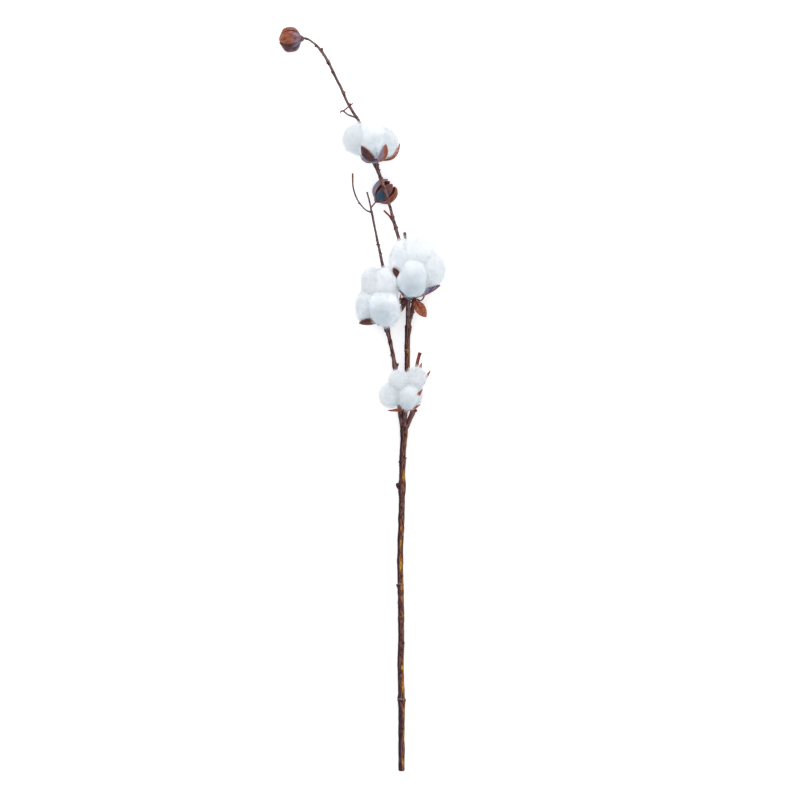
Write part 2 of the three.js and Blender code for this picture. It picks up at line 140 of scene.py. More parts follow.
def joined(shells):
    sizes = [len(shell["points"]) for shell in shells]
    starts = np.cumsum([0, *sizes[:-1]])
    whole = {part: np.concatenate([shell[part] for shell in shells]) for part in ("points", "straight")}
    for part in ("quads", "caps"):
        whole[part] = np.concatenate([shell[part] + start for shell, start in zip(shells, starts)])
    whole["values"] = {
        key: np.concatenate([shell["values"].get(key, np.zeros(size)) for shell, size in zip(shells, sizes)])
        for key in sorted({key for shell in shells for key in shell["values"]})
    }
    return whole


def placed(name, data, place):
    holder = bpy.data.objects.new(name, data)
    holder.location = place
    bpy.context.scene.collection.objects.link(holder)
    return holder


# Puts a shell into a mesh object that rides on the branch and stands for CAD nodes
def makePiece(name, shell, material, slot, *nodes):
    corners = np.concatenate([shell["quads"].reshape(-1), shell["caps"].reshape(-1)])
    sizes = np.repeat([4, 3], [len(shell["quads"]), len(shell["caps"])])
    mesh = bpy.data.meshes.new(name)
    mesh.vertices.add(len(shell["points"]))
    mesh.vertices.foreach_set("co", ((shell["points"] - branchMiddle) * metresPerMm).reshape(-1))
    mesh.loops.add(len(corners))
    mesh.loops.foreach_set("vertex_index", corners.astype(np.int32))
    mesh.polygons.add(len(sizes))
    mesh.polygons.foreach_set("loop_start", (np.cumsum(sizes) - sizes).astype(np.int32))
    mesh.polygons.foreach_set("use_smooth", np.ones(len(sizes), bool))
    mesh.update(calc_edges=True)
    for key, value in {**shell["values"], "straight": shell["straight"]}.items():
        kind, field = ("FLOAT", "value") if value.ndim == 1 else ("FLOAT_VECTOR", "vector")
        attribute = mesh.attributes.new(key, kind, "POINT")
        attribute.data.foreach_set(field, value.astype(np.float32).reshape(-1))
    mesh.materials.append(material)
    piece = placed(name, mesh, (0, 0, 0))
    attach(piece, "root")
    if nodes:
        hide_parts(*nodes)


# Smooth seeded noise from -1 to 1: random values on a repeating lattice, blended by how near each point is
# to the eight corners of its cell
def softNoise(points, size, seed):
    cells = 32
    lattice = np.random.default_rng(seed).uniform(-1, 1, (cells, cells, cells))
    scaled = np.asarray(points, float) / size
    cell = np.floor(scaled).astype(int)
    share = eased(scaled - cell)
    total = np.zeros(scaled.shape[:-1])
    for corner in np.ndindex(2, 2, 2):
        weight = np.prod(np.where(corner, share, 1 - share), axis=-1)
        x, y, z = np.moveaxis((cell + corner) % cells, -1, 0)
        total += weight * lattice[x, y, z]
    return total


# Noise along a line, which wavers about as often as the number of waves
def wavering(share, waves, seed, offset=0):
    return softNoise(gridOf(share * waves, 0, offset), 1, seed)


# Materials

# A material's socket that takes part in sums as a number does
class Wire:
    def __init__(self, tree, socket):
        self.tree = tree
        self.socket = socket

    def combined(self, operation, first, second):
        node = self.tree.nodes.new("ShaderNodeMath")
        node.operation = operation
        for entry, value in zip(node.inputs, (first, second)):
            feed(self.tree, entry, value)
        return Wire(self.tree, node.outputs[0])

    def __add__(self, other):
        return self.combined("ADD", self, other)

    def __sub__(self, other):
        return self.combined("SUBTRACT", self, other)

    def __rsub__(self, other):
        return self.combined("SUBTRACT", other, self)

    def __mul__(self, other):
        return self.combined("MULTIPLY", self, other)

    __radd__ = __add__
    __rmul__ = __mul__


def feed(tree, entry, value):
    if isinstance(value, Wire):
        tree.links.new(value.socket, entry)
    elif isinstance(value, tuple) and len(value) == 3 and entry.type == "RGBA":
        entry.default_value = (*value, 1.0)
    else:
        entry.default_value = value


class Recipe:
    def __init__(self, name):
        self.material = bpy.data.materials.new(name)
        self.material.use_nodes = True
        self.tree = self.material.node_tree
        self.tree.nodes.clear()

    # One node of any kind: its settings first, then what goes into its sockets
    def node(self, kind, settings, sockets, output=0):
        made = self.tree.nodes.new("ShaderNode" + kind)
        for key, value in settings.items():
            setattr(made, key, value)
        for key, value in sockets.items():
            feed(self.tree, made.inputs[key], value)
        return Wire(self.tree, made.outputs[output]) if made.outputs else None

    def value(self, name):
        return self.node("Attribute", {"attribute_name": name}, {}, "Fac")

    # Places in the object in millimetres
    def inObject(self):
        places = self.node("TexCoord", {}, {}, "Object")
        return self.node("Mapping", {}, {"Vector": places, "Scale": (1000, 1000, 1000)})

    def noise(self, places, scale, detail, roughness=0.55):
        sockets = {"Vector": places, "Scale": scale, "Detail": detail, "Roughness": roughness}
        return self.node("TexNoise", {}, sockets)

    # Streaks along the unrolled piece, longer the smaller the squeeze is
    def streaks(self, squeeze, scale, detail):
        places = self.node("Attribute", {"attribute_name": "straight"}, {}, "Vector")
        squeezed = self.node("Mapping", {}, {"Vector": places, "Scale": (1, 1, squeeze)})
        return self.noise(squeezed, scale, detail)

    # 0 where the wire is at the low level or under it, 1 at the high one or over it
    def between(self, wire, low, high):
        ramp = self.node("ValToRGB", {}, {"Fac": wire})
        for element, level in zip(ramp.socket.node.color_ramp.elements, (low, high)):
            element.position = level
        return ramp

    def blend(self, share, first, second):
        return self.node("Mix", {"data_type": "RGBA"}, {0: share, 6: first, 7: second}, 2)

    # From the first colour to the second as the wire goes from low to high
    def shift(self, wire, low, high, first, second):
        return self.blend(self.between(wire, low, high), first, second)

    # Layers on a ground colour: how much of each one shows, and its colour
    def painted(self, ground, *layers):
        for share, colour in layers:
            ground = self.blend(share, ground, colour)
        return ground

    def bump(self, height, strength, distance):
        return self.node("Bump", {}, {"Height": height, "Strength": strength, "Distance": distance})

    def finish(self, sockets):
        shader = self.node("BsdfPrincipled", {}, sockets)
        self.node("OutputMaterial", {}, {"Surface": shader})
        return self.material


# A colour as seen on screen, from 0 to 255, as the amount of light that a material takes
def tone(red, green, blue):
    return tuple(round(((c / 255 + 0.055) / 1.055) ** 2.4, 4) for c in (red, green, blue))


# Bark: dark and light streaks along the wood, painted shadow in purple-black on its left, ochre from wear
# and, towards its right, as a painted highlight
def barkMaterial():
    bark = Recipe("bark")
    grain = bark.streaks(0.16, 1.3, 5)
    patches = bark.streaks(0.3, 0.3, 3)
    flecks = bark.streaks(0.7, 1.5, 2)
    gold = bark.shift(bark.streaks(0.4, 0.8, 2), 0.45, 0.58, tone(150, 84, 32), tone(208, 160, 32))
    # ochre from wear, partly a painted highlight on the right side
    wearAndHighlight = bark.between(bark.streaks(0.1, 0.7, 3) * 0.5 + bark.value("ochre") * 0.5, 0.48, 0.62)
    colour = bark.painted(
        bark.shift(grain, 0.42, 0.6, tone(30, 20, 28), tone(128, 90, 76)),
        (bark.between(patches, 0.5, 0.66) * 0.75, tone(40, 28, 40)),
        (wearAndHighlight * 0.95, gold),
        (bark.between(flecks, 0.6, 0.7) * 0.65, tone(166, 144, 140)),
        (bark.value("pale") * bark.between(grain, 0.36, 0.54), tone(160, 142, 148)),
        # painted shadow in dark blue-purple on the left side of each limb
        (bark.value("shadow") * bark.between(patches, 0.2, 0.42), tone(10, 22, 44)),
        (bark.value("scar") * 0.85, tone(158, 138, 128)),
        (bark.value("red"), bark.shift(grain, 0.36, 0.64, tone(92, 32, 24), tone(178, 88, 60))),
        (bark.value("cut"), bark.shift(flecks, 0.3, 0.7, tone(84, 56, 42), tone(150, 104, 62))),
    )
    return bark.finish({
        "Base Color": colour,
        "Roughness": 0.86 - 0.22 * grain,
        "Specular IOR Level": 0.08,
        "Normal": bark.bump(grain * 0.65 + flecks * 0.35, 0.8, 0.0008),
    })


# Husk: fine lines along each valve over a cloudy ground. tint goes from purple-brown to orange-brown, bloom
# is a grey-blue film, teal painted shade in dark blue-green, inner the inside of a valve, and rim its pale
# orange edge.
def huskMaterial(name, innerDark, innerLight):
    husk = Recipe(name)
    veins = husk.streaks(0.1, 1.5, 4)
    cloud = husk.streaks(0.5, 0.3, 4)
    flecks = husk.streaks(0.6, 1.7, 2)
    tint = husk.value("tint")
    dark = husk.blend(tint, tone(38, 22, 30), tone(112, 50, 30))
    light = husk.blend(tint, tone(98, 56, 54), tone(202, 112, 70))
    film = husk.between(cloud * 0.5 + husk.value("bloom") * 0.5, 0.46, 0.66)
    # painted shade in dark blue-green where teal is set
    tealShade = husk.value("teal") * husk.between(veins, 0.2, 0.45)
    colour = husk.painted(
        husk.shift(cloud * 0.45 + veins * 0.55, 0.4, 0.6, dark, light),
        (husk.value("inner"), husk.shift(cloud, 0.38, 0.62, innerDark, innerLight)),
        (husk.between(veins, 0.52, 0.68) * 0.6, tone(58, 28, 30)),
        (film * 0.8, husk.blend(veins, tone(92, 90, 116), tone(156, 156, 180))),
        (tealShade * 0.9, tone(34, 68, 88)),
        (husk.between(flecks, 0.66, 0.74) * 0.5, tone(214, 164, 140)),
        (husk.value("rim"), husk.shift(veins, 0.35, 0.65, tone(158, 70, 40), tone(222, 134, 88))),
    )
    return husk.finish({
        "Base Color": colour,
        "Roughness": 0.72 - 0.2 * veins,
        "Specular IOR Level": 0.25,
        "Normal": husk.bump(veins * 0.7 + flecks * 0.3, 0.7, 0.0006),
    })


# Leaf: a cloudy orange-brown with dark veins, darker in the shade of the boll
def leafMaterial():
    leaf = Recipe("driedLeaf")
    fine = leaf.streaks(0.4, 1.4, 4)
    colour = leaf.painted(
        leaf.shift(leaf.streaks(0.7, 0.35, 3), 0.36, 0.64, tone(158, 72, 42), tone(212, 124, 84)),
        (leaf.between(fine, 0.55, 0.7) * 0.5, tone(112, 48, 34)),
        (leaf.value("vein") * 0.95, tone(62, 24, 20)),
        (leaf.value("dark"), tone(62, 32, 38)),
        (leaf.value("rim"), tone(204, 112, 72)),
    )
    return leaf.finish({
        "Base Color": colour,
        "Roughness": 0.72 - 0.2 * fine,
        "Specular IOR Level": 0.4,
        "Normal": leaf.bump(fine - leaf.value("vein"), 0.5, 0.0004),
    })


# Cotton: nearly white in slow clouds, with grey-blue painted shade at the base of its boll and in its
# creases. Its glow stands for the light that passes through it.
def cottonLook(recipe, tufts, low, high, glow, sheen):
    ground = recipe.shift(tufts, low, high, tone(245, 248, 251), tone(252, 252, 253))
    return {
        # painted shade in grey-blue where shade is set
        "Base Color": recipe.painted(ground, (recipe.value("shade") * 0.85, tone(158, 176, 188))),
        "Roughness": 1.0,
        "Specular IOR Level": 0.1,
        "Sheen Weight": sheen,
        "Emission Color": (0.9, 0.95, 1.0),
        "Emission Strength": glow,
    }


def cottonMaterial():
    cotton = Recipe("cotton")
    places = cotton.inObject()
    return cotton.finish({
        **cottonLook(cotton, cotton.noise(places, 0.22, 4), 0.36, 0.62, 0.08, 0.35),
        "Subsurface Weight": 0.6,
        "Subsurface Radius": (0.003, 0.0032, 0.0036),
        "Subsurface Scale": 1.0,
        "Sheen Roughness": 0.6,
        "Normal": cotton.bump(cotton.noise(places, 1.1, 5, 0.7), 0.35, 0.0006),
    })


def fibreMaterial():
    fibre = Recipe("cottonFibre")
    return fibre.finish(cottonLook(fibre, fibre.noise(fibre.inObject(), 0.3, 2), 0.3, 0.7, 0.15, 0.3))


def floorMaterial():
    paper = Recipe("paleFloor")
    cloud = paper.noise(paper.inObject(), 0.02, 2)
    return paper.finish({
        "Base Color": paper.blend(cloud, (0.9, 0.9, 0.9), (0.92, 0.92, 0.92)),
        "Roughness": 0.9,
        "Emission Color": (1.0, 1.0, 1.0),
        "Emission Strength": 0.42,
    })


barkFinish = barkMaterial()
huskFinish = huskMaterial("husk", tone(84, 78, 118), tone(170, 166, 200))
caseFinish = huskMaterial("emptyHusk", tone(56, 20, 16), tone(150, 66, 42))
leafFinish = leafMaterial()
cottonFinish = cottonMaterial()
fibreFinish = fibreMaterial()
print("materials made")


# The wood

# Each limb is a line of [x, y, z, radius] from where it leaves its parent to its end.
wood = {
    "around": 26,  # points round a branch
    "twigAround": 14,  # points round a twig, thinner than twigRadius where it starts
    "twigRadius": 1.3,
    "step": 0.85,  # between rings, along a limb
    "ridge": 0.075,  # depth of the bark's ridges, as a share of the radius
    "squeeze": [1, 1, 0.16],  # draws the ridges out along the limb
    "ridgeWidths": [0.9, 0.45],
    "swell": 0.05,  # slow swelling of the wood, as a share of the radius
    "swellLength": 7,
    "wander": 0.22,  # how far a limb's line strays
    "still": 8,  # and how far from its ends it starts to
    "fork": 0.15,  # how much a fork thickens its parent, as a share of the new limb's radius
    "budSwell": 0.2,  # how much a bud thickens its limb, as a share of its size
    "scarSwell": 0.35,
    "pale": 0.32,  # how pale the bark of every limb but the trunk is
    "shadow": [0.95, 0.6],  # how dark the painted shadow on its left side is, on the trunk and elsewhere
    "ochre": 0.22,  # how ochre it is off the trunk: wear, and more towards its right side a painted highlight
    "limbs": {
        "trunk": [
            [0, 0, 3.3, 3.3], [-0.1, 32.5, 3.4, 3.4], [0, 74.5, 3.5, 3.45], [-1, 116.5, 3.8, 3.3],
            [-0.3, 137.5, 4, 3.1], [-0.65, 179.5, 4.5, 3.2], [-1.45, 221.5, 5.1, 3.15],
            [-0.2, 263.5, 5.7, 3.3], [0.4, 295, 6.3, 3.15], [1, 326.5, 7, 3.3], [2.25, 350, 7.9, 3.4],
            [2.9, 368.5, 8.5, 2.6], [3.9, 379, 8.7, 2.6], [5, 400, 8.9, 2.85], [5.8, 421, 9, 2.85],
            [6.1, 447.3, 9, 2.85], [7.1, 468.3, 9, 3],
        ],
        "leftBranch": [
            [2, 356, 8, 2.6], [-1.6, 378, 8.6, 2.5], [-3.7, 398, 8.6, 2.3], [-5.8, 417, 8.4, 2.3],
            [-8.9, 435.8, 8, 2], [-11.6, 449.4, 7.6, 2], [-14.7, 463, 7, 2.3], [-17.3, 478.8, 5.8, 2.2],
            [-18.4, 494.6, 5.2, 1.9], [-18, 510, 5.6, 1.75], [-19, 526, 7, 1.65], [-21.5, 539.7, 8.6, 1.5],
            [-24.7, 554.4, 10.4, 1.25], [-27.8, 569, 12.2, 1.15], [-30, 580.7, 13.6, 1.3],
            [-31.7, 588, 14.4, 1.2],
        ],
        "rightBranch": [
            [7.1, 466, 9, 2.3], [10.5, 482, 8.4, 2.1], [12.3, 492.5, 7.4, 2], [12, 507, 6.6, 1.9],
            [8, 531, 7.2, 1.85], [1.6, 547, 10, 1.8], [-2.6, 557.6, 13, 1.8], [-5.3, 567, 16.5, 1.8],
            [-8.6, 578.6, 22, 1.65], [-12, 591, 27.6, 1.45], [-17.3, 609, 30.6, 1.4],
            [-20.5, 617.4, 29.4, 1.4], [-23, 624.8, 26.8, 1.6],
        ],
        "topBranch": [
            [-22.4, 623, 26.4, 1.5], [-26.4, 632, 21, 1.4], [-30, 639.5, 13, 1.35], [-34, 652, 6.2, 1.35],
            [-39.4, 666.8, 4.4, 1.35], [-44, 681, 5.8, 1.45], [-49.4, 688.8, 7.4, 1.6],
            [-54.6, 698, 8.8, 1.4], [-57.2, 702.5, 9.6, 1.35], [-62.5, 715, 11, 1.45],
            [-68.8, 727.7, 12.4, 1.4], [-75, 740.3, 13.6, 1.4], [-80.6, 750.4, 14.6, 1.4],
            [-86.4, 758, 15.4, 1.25], [-93.4, 764.6, 15.6, 1.15], [-98.6, 767.8, 15, 1],
            [-104, 769, 14.6, 1.15],
        ],
        "bollOneStalk": [[-22.4, 623, 26.4, 1.6], [-25, 631, 27, 1.7], [-26.6, 638.5, 27, 1.9]],
        "bollTwoStalk": [
            [7, 464, 9, 2.5], [6.6, 482, 11.6, 2.3], [7.2, 492, 16, 2.4], [7.8, 496.5, 19, 2.4],
        ],
        "bollThreeStalk": [[-15.6, 461, 7.6, 2.2], [-17.6, 468, 11, 2.1], [-20, 472.5, 15, 2.2]],
        "bollFourStalk": [[2.6, 360, 8.4, 2.4], [3.2, 369, 12, 2], [4, 377, 17, 2.1], [4.4, 381, 20, 2.2]],
        "forkSpur": [
            [3, 358, 8, 2.6], [8.7, 370, 8.9, 2.6], [11.8, 377, 9.2, 2.6], [14.2, 393.8, 9.2, 1.9],
            [14.7, 410.6, 9.6, 1.6], [15.5, 424.2, 10.4, 1.75], [19.4, 439.4, 12, 1.9],
        ],
        "forkKnob": [[12, 377, 9.2, 1.8], [14.4, 378.2, 10, 1.5], [16.4, 378.6, 10.6, 1.3]],
        "hookTwig": [
            [-31.4, 586, 14.2, 0.9], [-37.3, 588.5, 16, 0.8], [-42.5, 593.8, 18.4, 0.8],
            [-47.3, 601.7, 21, 0.8], [-50.4, 611.6, 23.4, 0.85], [-51.3, 626.9, 25.6, 0.95],
        ],
        "forkTwig": [
            [-31.5, 586.5, 14.2, 1], [-32.6, 593.3, 15.6, 0.9], [-34.9, 602.7, 18, 0.85],
            [-36.2, 607.4, 19.4, 0.9],
        ],
        "caseTwoStalk": [[-32.2, 590.5, 15, 0.85], [-29, 594.8, 14, 0.75], [-25.6, 598.6, 13.2, 0.9]],
        "bentTwig": [
            [-48.6, 686, 7.2, 1], [-56.7, 689, 10, 0.85], [-62, 692.6, 12, 0.8], [-64.6, 690.9, 12.4, 0.7],
        ],
        "crossTwig": [
            [-61.6, 692.2, 12, 0.8], [-58.4, 694.6, 11, 0.7], [-54.6, 697.6, 9, 0.8],
            [-51, 700.6, 11.8, 0.6],
        ],
        "leafStub": [[-2, 188.5, 5, 1.1], [-4, 192.5, 5.6, 0.8], [-5.4, 196.4, 6, 0.6]],
        "redSpur": [[-8.6, 576, 20.4, 1.2], [-13, 582.2, 23, 1], [-18.6, 587.9, 25, 1]],
        "bollTwoSpur": [[6.6, 536, 7.8, 1.4], [4.6, 550, 12, 1.4], [3.3, 565.4, 15, 1.7]],
        "curlTwig": [
            [10, 492, 9, 1], [15.8, 495.4, 14.6, 0.8], [19.7, 493.6, 17, 0.75], [21.8, 495, 18, 0.75],
            [24.4, 499.6, 18.6, 0.75],
        ],
    },
    # how red the bark is where a limb starts and where it ends; the rest are as red as a bud
    "red": {
        "leftBranch": [0.2, 0.15], "rightBranch": [0.15, 0.3], "forkSpur": [0.3, 1], "forkKnob": [0.3, 1],
        "redSpur": [1, 1], "bollTwoSpur": [0.1, 0.5], "hookTwig": [0.1, 0.6], "forkTwig": [0.1, 0.6],
        "caseTwoStalk": [0.1, 0.4], "crossTwig": [0.2, 0.9], "bentTwig": [0.1, 0.9],
    },
    # buds and leaf scars on each limb: share of its length, degrees around it, size
    "buds": {
        "trunk": [
            [0.155, 0, 1.5], [0.163, 190, 1.4], [0.285, 20, 1.2], [0.34, 200, 1.1], [0.375, 170, 0.9],
            [0.47, 60, 1], [0.636, 150, 4], [0.69, 180, 1.3], [0.7, 10, 1.5], [0.84, 70, 1.2],
        ],
        "leftBranch": [
            [0.295, 0, 2.3], [0.34, 200, 1.3], [0.4, 150, 1.2], [0.46, 20, 1.2], [0.66, 190, 0.9],
            [0.74, 30, 1], [0.86, 180, 0.8],
        ],
        "rightBranch": [
            [0.09, 0, 1.5], [0.55, 190, 1], [0.64, 10, 1.3], [0.72, 20, 1], [0.86, 190, 0.8],
            [0.9, 180, 1], [0.935, 10, 1.1], [0.97, 0, 1.3],
        ],
        "topBranch": [
            [0.3, 10, 1.3], [0.42, 190, 0.9], [0.5, 0, 1.1], [0.578, 0, 1.3], [0.71, 190, 1.1],
            [0.775, 180, 1.1], [0.785, 10, 1], [0.86, 10, 1.9], [0.9, 190, 1.2], [0.97, 190, 1],
        ],
        "bollOneStalk": [[0.35, 0, 1.2], [0.75, 20, 1.3]],
    },
    "budAround": 12,
    "budRows": 12,
    "budRed": 0.12,
    "budFoot": 0.85,  # where a bud starts, as a share of its limb's radius
    # small rough knobs, scattered by a seeded draw: how many on each limb
    "knobs": {
        "trunk": 16, "leftBranch": 14, "rightBranch": 20, "topBranch": 18, "bollOneStalk": 6, "forkSpur": 4,
        "hookTwig": 3,
    },
    "knobDraw": [[0.03, 0.97], [-40, 220], [0.5, 1.1]],  # from and to, for what a bud's three numbers say
    "knobSeed": 77,
    "knobRows": 7,
    "knobRed": 0.1,
    # leaf scars that ring the trunk, and ochre patches of wear, partly painted highlight: [y, reach, side,
    # strength]
    "scars": [75, 196, 441],
    "wearAndHighlight": [
        [309, 9, 0.4, 1], [256, 4, 0.1, 1], [249, 2, 0.7, 1], [239, 7, 0.1, 0.9], [219, 12, 0.1, 1],
        [193, 5, 0.3, 1], [182, 2.5, 0.3, 1], [164, 7, 0.5, 0.6], [109, 4, 0.5, 1], [90, 10, 0.5, 1],
        [62, 14, 0.8, 0.8], [35, 26, 0.8, 0.7], [8, 10, 0.5, 0.8], [441, 3, 0, 0.9], [345, 9, 0.7, 0.6],
    ],
}


# A smooth line through the points, with a row every step millimetres. On each span it is a cubic, whose
# slopes weigh the spans beside it by the square root of their length; the radius changes evenly.
def smoothLine(points, step):
    points = np.array(points, float)
    spots = points[:, :3]
    padded = np.vstack([2 * spots[0] - spots[1], spots, 2 * spots[-1] - spots[-2]])
    spans = np.sqrt(sizeOf(np.diff(padded, axis=0)))[:, None]
    before, here, after = spans[:-2], spans[1:-1], spans[2:]
    p0, p1, p2, p3 = padded[:-3], padded[1:-2], padded[2:-1], padded[3:]
    leave = ((p1 - p0) / before - (p2 - p0) / (before + here) + (p2 - p1) / here) * here
    arrive = ((p2 - p1) / here - (p3 - p1) / (here + after) + (p3 - p2) / after) * here
    t = np.linspace(0, 1, 24, endpoint=False)[None, :, None]  # each span in 24 parts
    square = -3 * p1 + 3 * p2 - 2 * leave - arrive
    cube = 2 * p1 - 2 * p2 + leave + arrive
    line = p1[:, None] + leave[:, None] * t + square[:, None] * t**2 + cube[:, None] * t**3
    line = np.vstack([line.reshape(-1, 3), spots[-1]])
    thick = mixed(points[:-1, 3:], points[1:, 3:], t[0, :, 0])
    thick = np.append(thick.reshape(-1), points[-1, 3])
    travelled = np.append(0, np.cumsum(sizeOf(np.diff(line, axis=0))))
    total = travelled[-1]
    ends = 0.5 * thick[[0, -1]]  # both ends are rounded over half a radius, in four rows
    body = np.linspace(ends[0], total - ends[1], max(4, int((total - ends.sum()) / step)))
    shares = np.array([0, 0.12, 0.4, 0.7])
    rows = np.concatenate([ends[0] * shares, body, total - ends[1] * shares[::-1]])
    spots = np.stack([np.interp(rows, travelled, line[:, i]) for i in range(3)], axis=1)
    inStart = held(rows / ends[0])
    inEnd = held((total - rows) / ends[1])
    rounding = 0.55 + 0.45 * np.sqrt(1 - (1 - np.minimum(inStart, inEnd)) ** 2)
    return {
        "spots": spots,
        "radius": np.interp(rows, travelled, thick) * rounding,
        "rows": rows,
        "length": total,
        "forward": unit(np.gradient(spots, rows, axis=0)),
    }


# Two directions across a line: one level, one up
def acrossLine(forward):
    level = unit(np.cross(forward, [0, 0, 1]))
    return level, np.cross(level, forward)


limbLines = {name: smoothLine(points, wood["step"]) for name, points in wood["limbs"].items()}


# Where a bud sits on its limb, and which way it points
def budPlace(limb, share, turn):
    line = limbLines[limb]
    row = int(np.searchsorted(line["rows"], share * line["length"]))
    level, lift = acrossLine(line["forward"][row])
    angle = math.radians(turn)
    sideways = np.array([math.cos(angle), 0, math.sin(angle)])
    sideways = unit(level * (sideways @ level) + lift * (sideways @ lift))
    seat = line["spots"][row] + sideways * line["radius"][row] * wood["budFoot"]
    return seat, unit(sideways + 0.5 * line["forward"][row]), line["forward"][row]


# A limb is a circle carried along its line. Its radius swells slowly, is ridged by noise drawn out
# along the bark, and thickens in a bell shape at each fork and bud.
def limbShell(name, order):
    line = limbLines[name]
    isTrunk = name == "trunk"
    isTwig = wood["limbs"][name][0][3] < wood["twigRadius"]
    level, lift = acrossLine(line["forward"])
    radius = line["radius"]
    thicker = np.zeros(len(radius))
    for other, (root, *_) in wood["limbs"].items():
        if other != name:
            far = sizeOf(line["spots"] - root[:3])
            thicker += wood["fork"] * min(root[3], 1.4 * radius.max()) * bell(far, 2.2 * root[3])
    for share, turn, size in wood["buds"].get(name, []):
        far = sizeOf(line["spots"] - budPlace(name, share, turn)[0])
        thicker += wood["budSwell"] * size * bell(far - radius, 1.1 * size)
    thicker = np.minimum(thicker, 0.6 * radius)
    beside = line["spots"][:, 1, None] - wood["scars"]
    if isTrunk:
        thicker = thicker + wood["scarSwell"] * bell(beside, 1.1).sum(axis=1)
    stray = np.stack([softNoise(line["spots"] + 50 * i, 9, 300 + order) for i in (1, 2)], axis=1)
    fade = np.minimum(1, np.minimum(line["rows"], line["length"] - line["rows"]) / wood["still"])
    stray = stray * wood["wander"] * fade[:, None]
    centre = line["spots"] + level * stray[:, :1] + lift * stray[:, 1:]
    angle = circleOf(wood["twigAround"] if isTwig else wood["around"])
    way = allRound(level, lift, angle)
    rows, girth = line["rows"][:, None], radius[:, None]
    straight = gridOf(girth * np.cos(angle), girth * np.sin(angle), rows + 900 * order)  # its own bark
    drawnOut = straight * wood["squeeze"]
    broad, narrow = wood["ridgeWidths"]
    ridges = softNoise(drawnOut, broad, 41) + 0.5 * softNoise(drawnOut, narrow, 42)
    swelling = softNoise(straight * [0.5, 0.5, 1], wood["swellLength"], 43)
    girth = (radius + thicker)[:, None] * (1 + wood["ridge"] * ridges + wood["swell"] * swelling)
    rings = centre[:, None] + way * girth[..., None]
    first, last = wood["red"].get(name, [wood["budRed"]] * 2)
    bulge = np.minimum(1, thicker / radius)[:, None]
    lower = held((90 - rings[..., 1]) / 30)  # low down the painted shadow reaches further round
    values = {
        "red": held(mixed(first, last, (rows / line["length"]) ** 4)),
        "ochre": ochreOn(name, rings, way) * (1 - 0.6 * bulge),
        # painted shadow: the left side darkens towards purple-black
        "shadow": held(-3 * way[..., 0] - 0.6 + 0.6 * lower) * wood["shadow"][0 if isTrunk else 1],
        "pale": 0.0 if isTrunk else wood["pale"],
    }
    if isTrunk:
        slanted = beside[:, None] + 0.5 * way[..., 0, None] - 0.8
        values["scar"] = held(bell(slanted, 0.45).sum(axis=-1))
        values["cut"] = (rows == 0) * 1.0
    return closedTube(rings, values, straight)


# Where the bark is ochre, from wear and partly as a painted highlight: more towards its right side, and
# bell-shaped patches up the trunk, on the side that each one names
def ochreOn(name, rings, way):
    facing = way[..., 0]
    if name != "trunk":
        # more ochre towards the right side, partly a painted highlight
        return wood["ochre"] + wood["ochre"] * facing
    total = 0.25 + 0.3 * held(facing)
    for middle, reach, side, strength in wood["wearAndHighlight"]:
        near = bell(rings[..., 1] - middle, reach) * bell(facing - side, 0.5)
        total = np.maximum(total, strength * near)
    return held(total)


# A bud is a bulb on a short straight line out of the bark: wide at the foot and drawn to a point
def budShell(limb, share, turn, size, count, red):
    seat, way, forward = budPlace(limb, share, turn)
    rows = np.linspace(0, 1, count)[:, None]
    angle = circleOf(wood["budAround"])[:, None]
    side = unit(np.cross(way, forward))
    deep = np.cross(side, way)
    width = 0.82 * size * np.sqrt(np.clip(1 - (2 * rows - 0.9) ** 2 / 1.21, 0.004, 1)) * (1 - 0.35 * rows)
    middle = seat + way * (2 * rows - 0.8) * 1.1 * size + forward * 0.35 * size * rows**2
    circle = side * np.cos(angle) + deep * np.sin(angle) * 1.15
    rings = middle[:, None] + circle * width[:, None]
    rough = 0.17 * size * softNoise(rings, 0.8, 61) * np.sin(np.pi * rows)
    rings = rings + circle * rough[..., None]
    # the larger a bud, the more painted shadow it has
    return closedTube(rings, {"red": red, "ochre": 0.3, "shadow": min(0.8, 0.12 * size**1.4)})


def budShells():
    draw = np.random.default_rng(wood["knobSeed"])
    shells = []
    for limb, buds in wood["buds"].items():
        shells += [budShell(limb, *bud, wood["budRows"], wood["budRed"]) for bud in buds]
    for limb, count in wood["knobs"].items():
        for drawn in draw.uniform(0, 1, (count, 3)):
            bud = [mixed(low, high, share) for (low, high), share in zip(wood["knobDraw"], drawn)]
            shells.append(budShell(limb, *bud, wood["knobRows"], wood["knobRed"]))
    return shells


limbShells = [limbShell(name, order) for order, name in enumerate(wood["limbs"])]
makePiece("woody_stem", joined(limbShells + budShells()), barkFinish, "bark", "stem")
print("stem made")
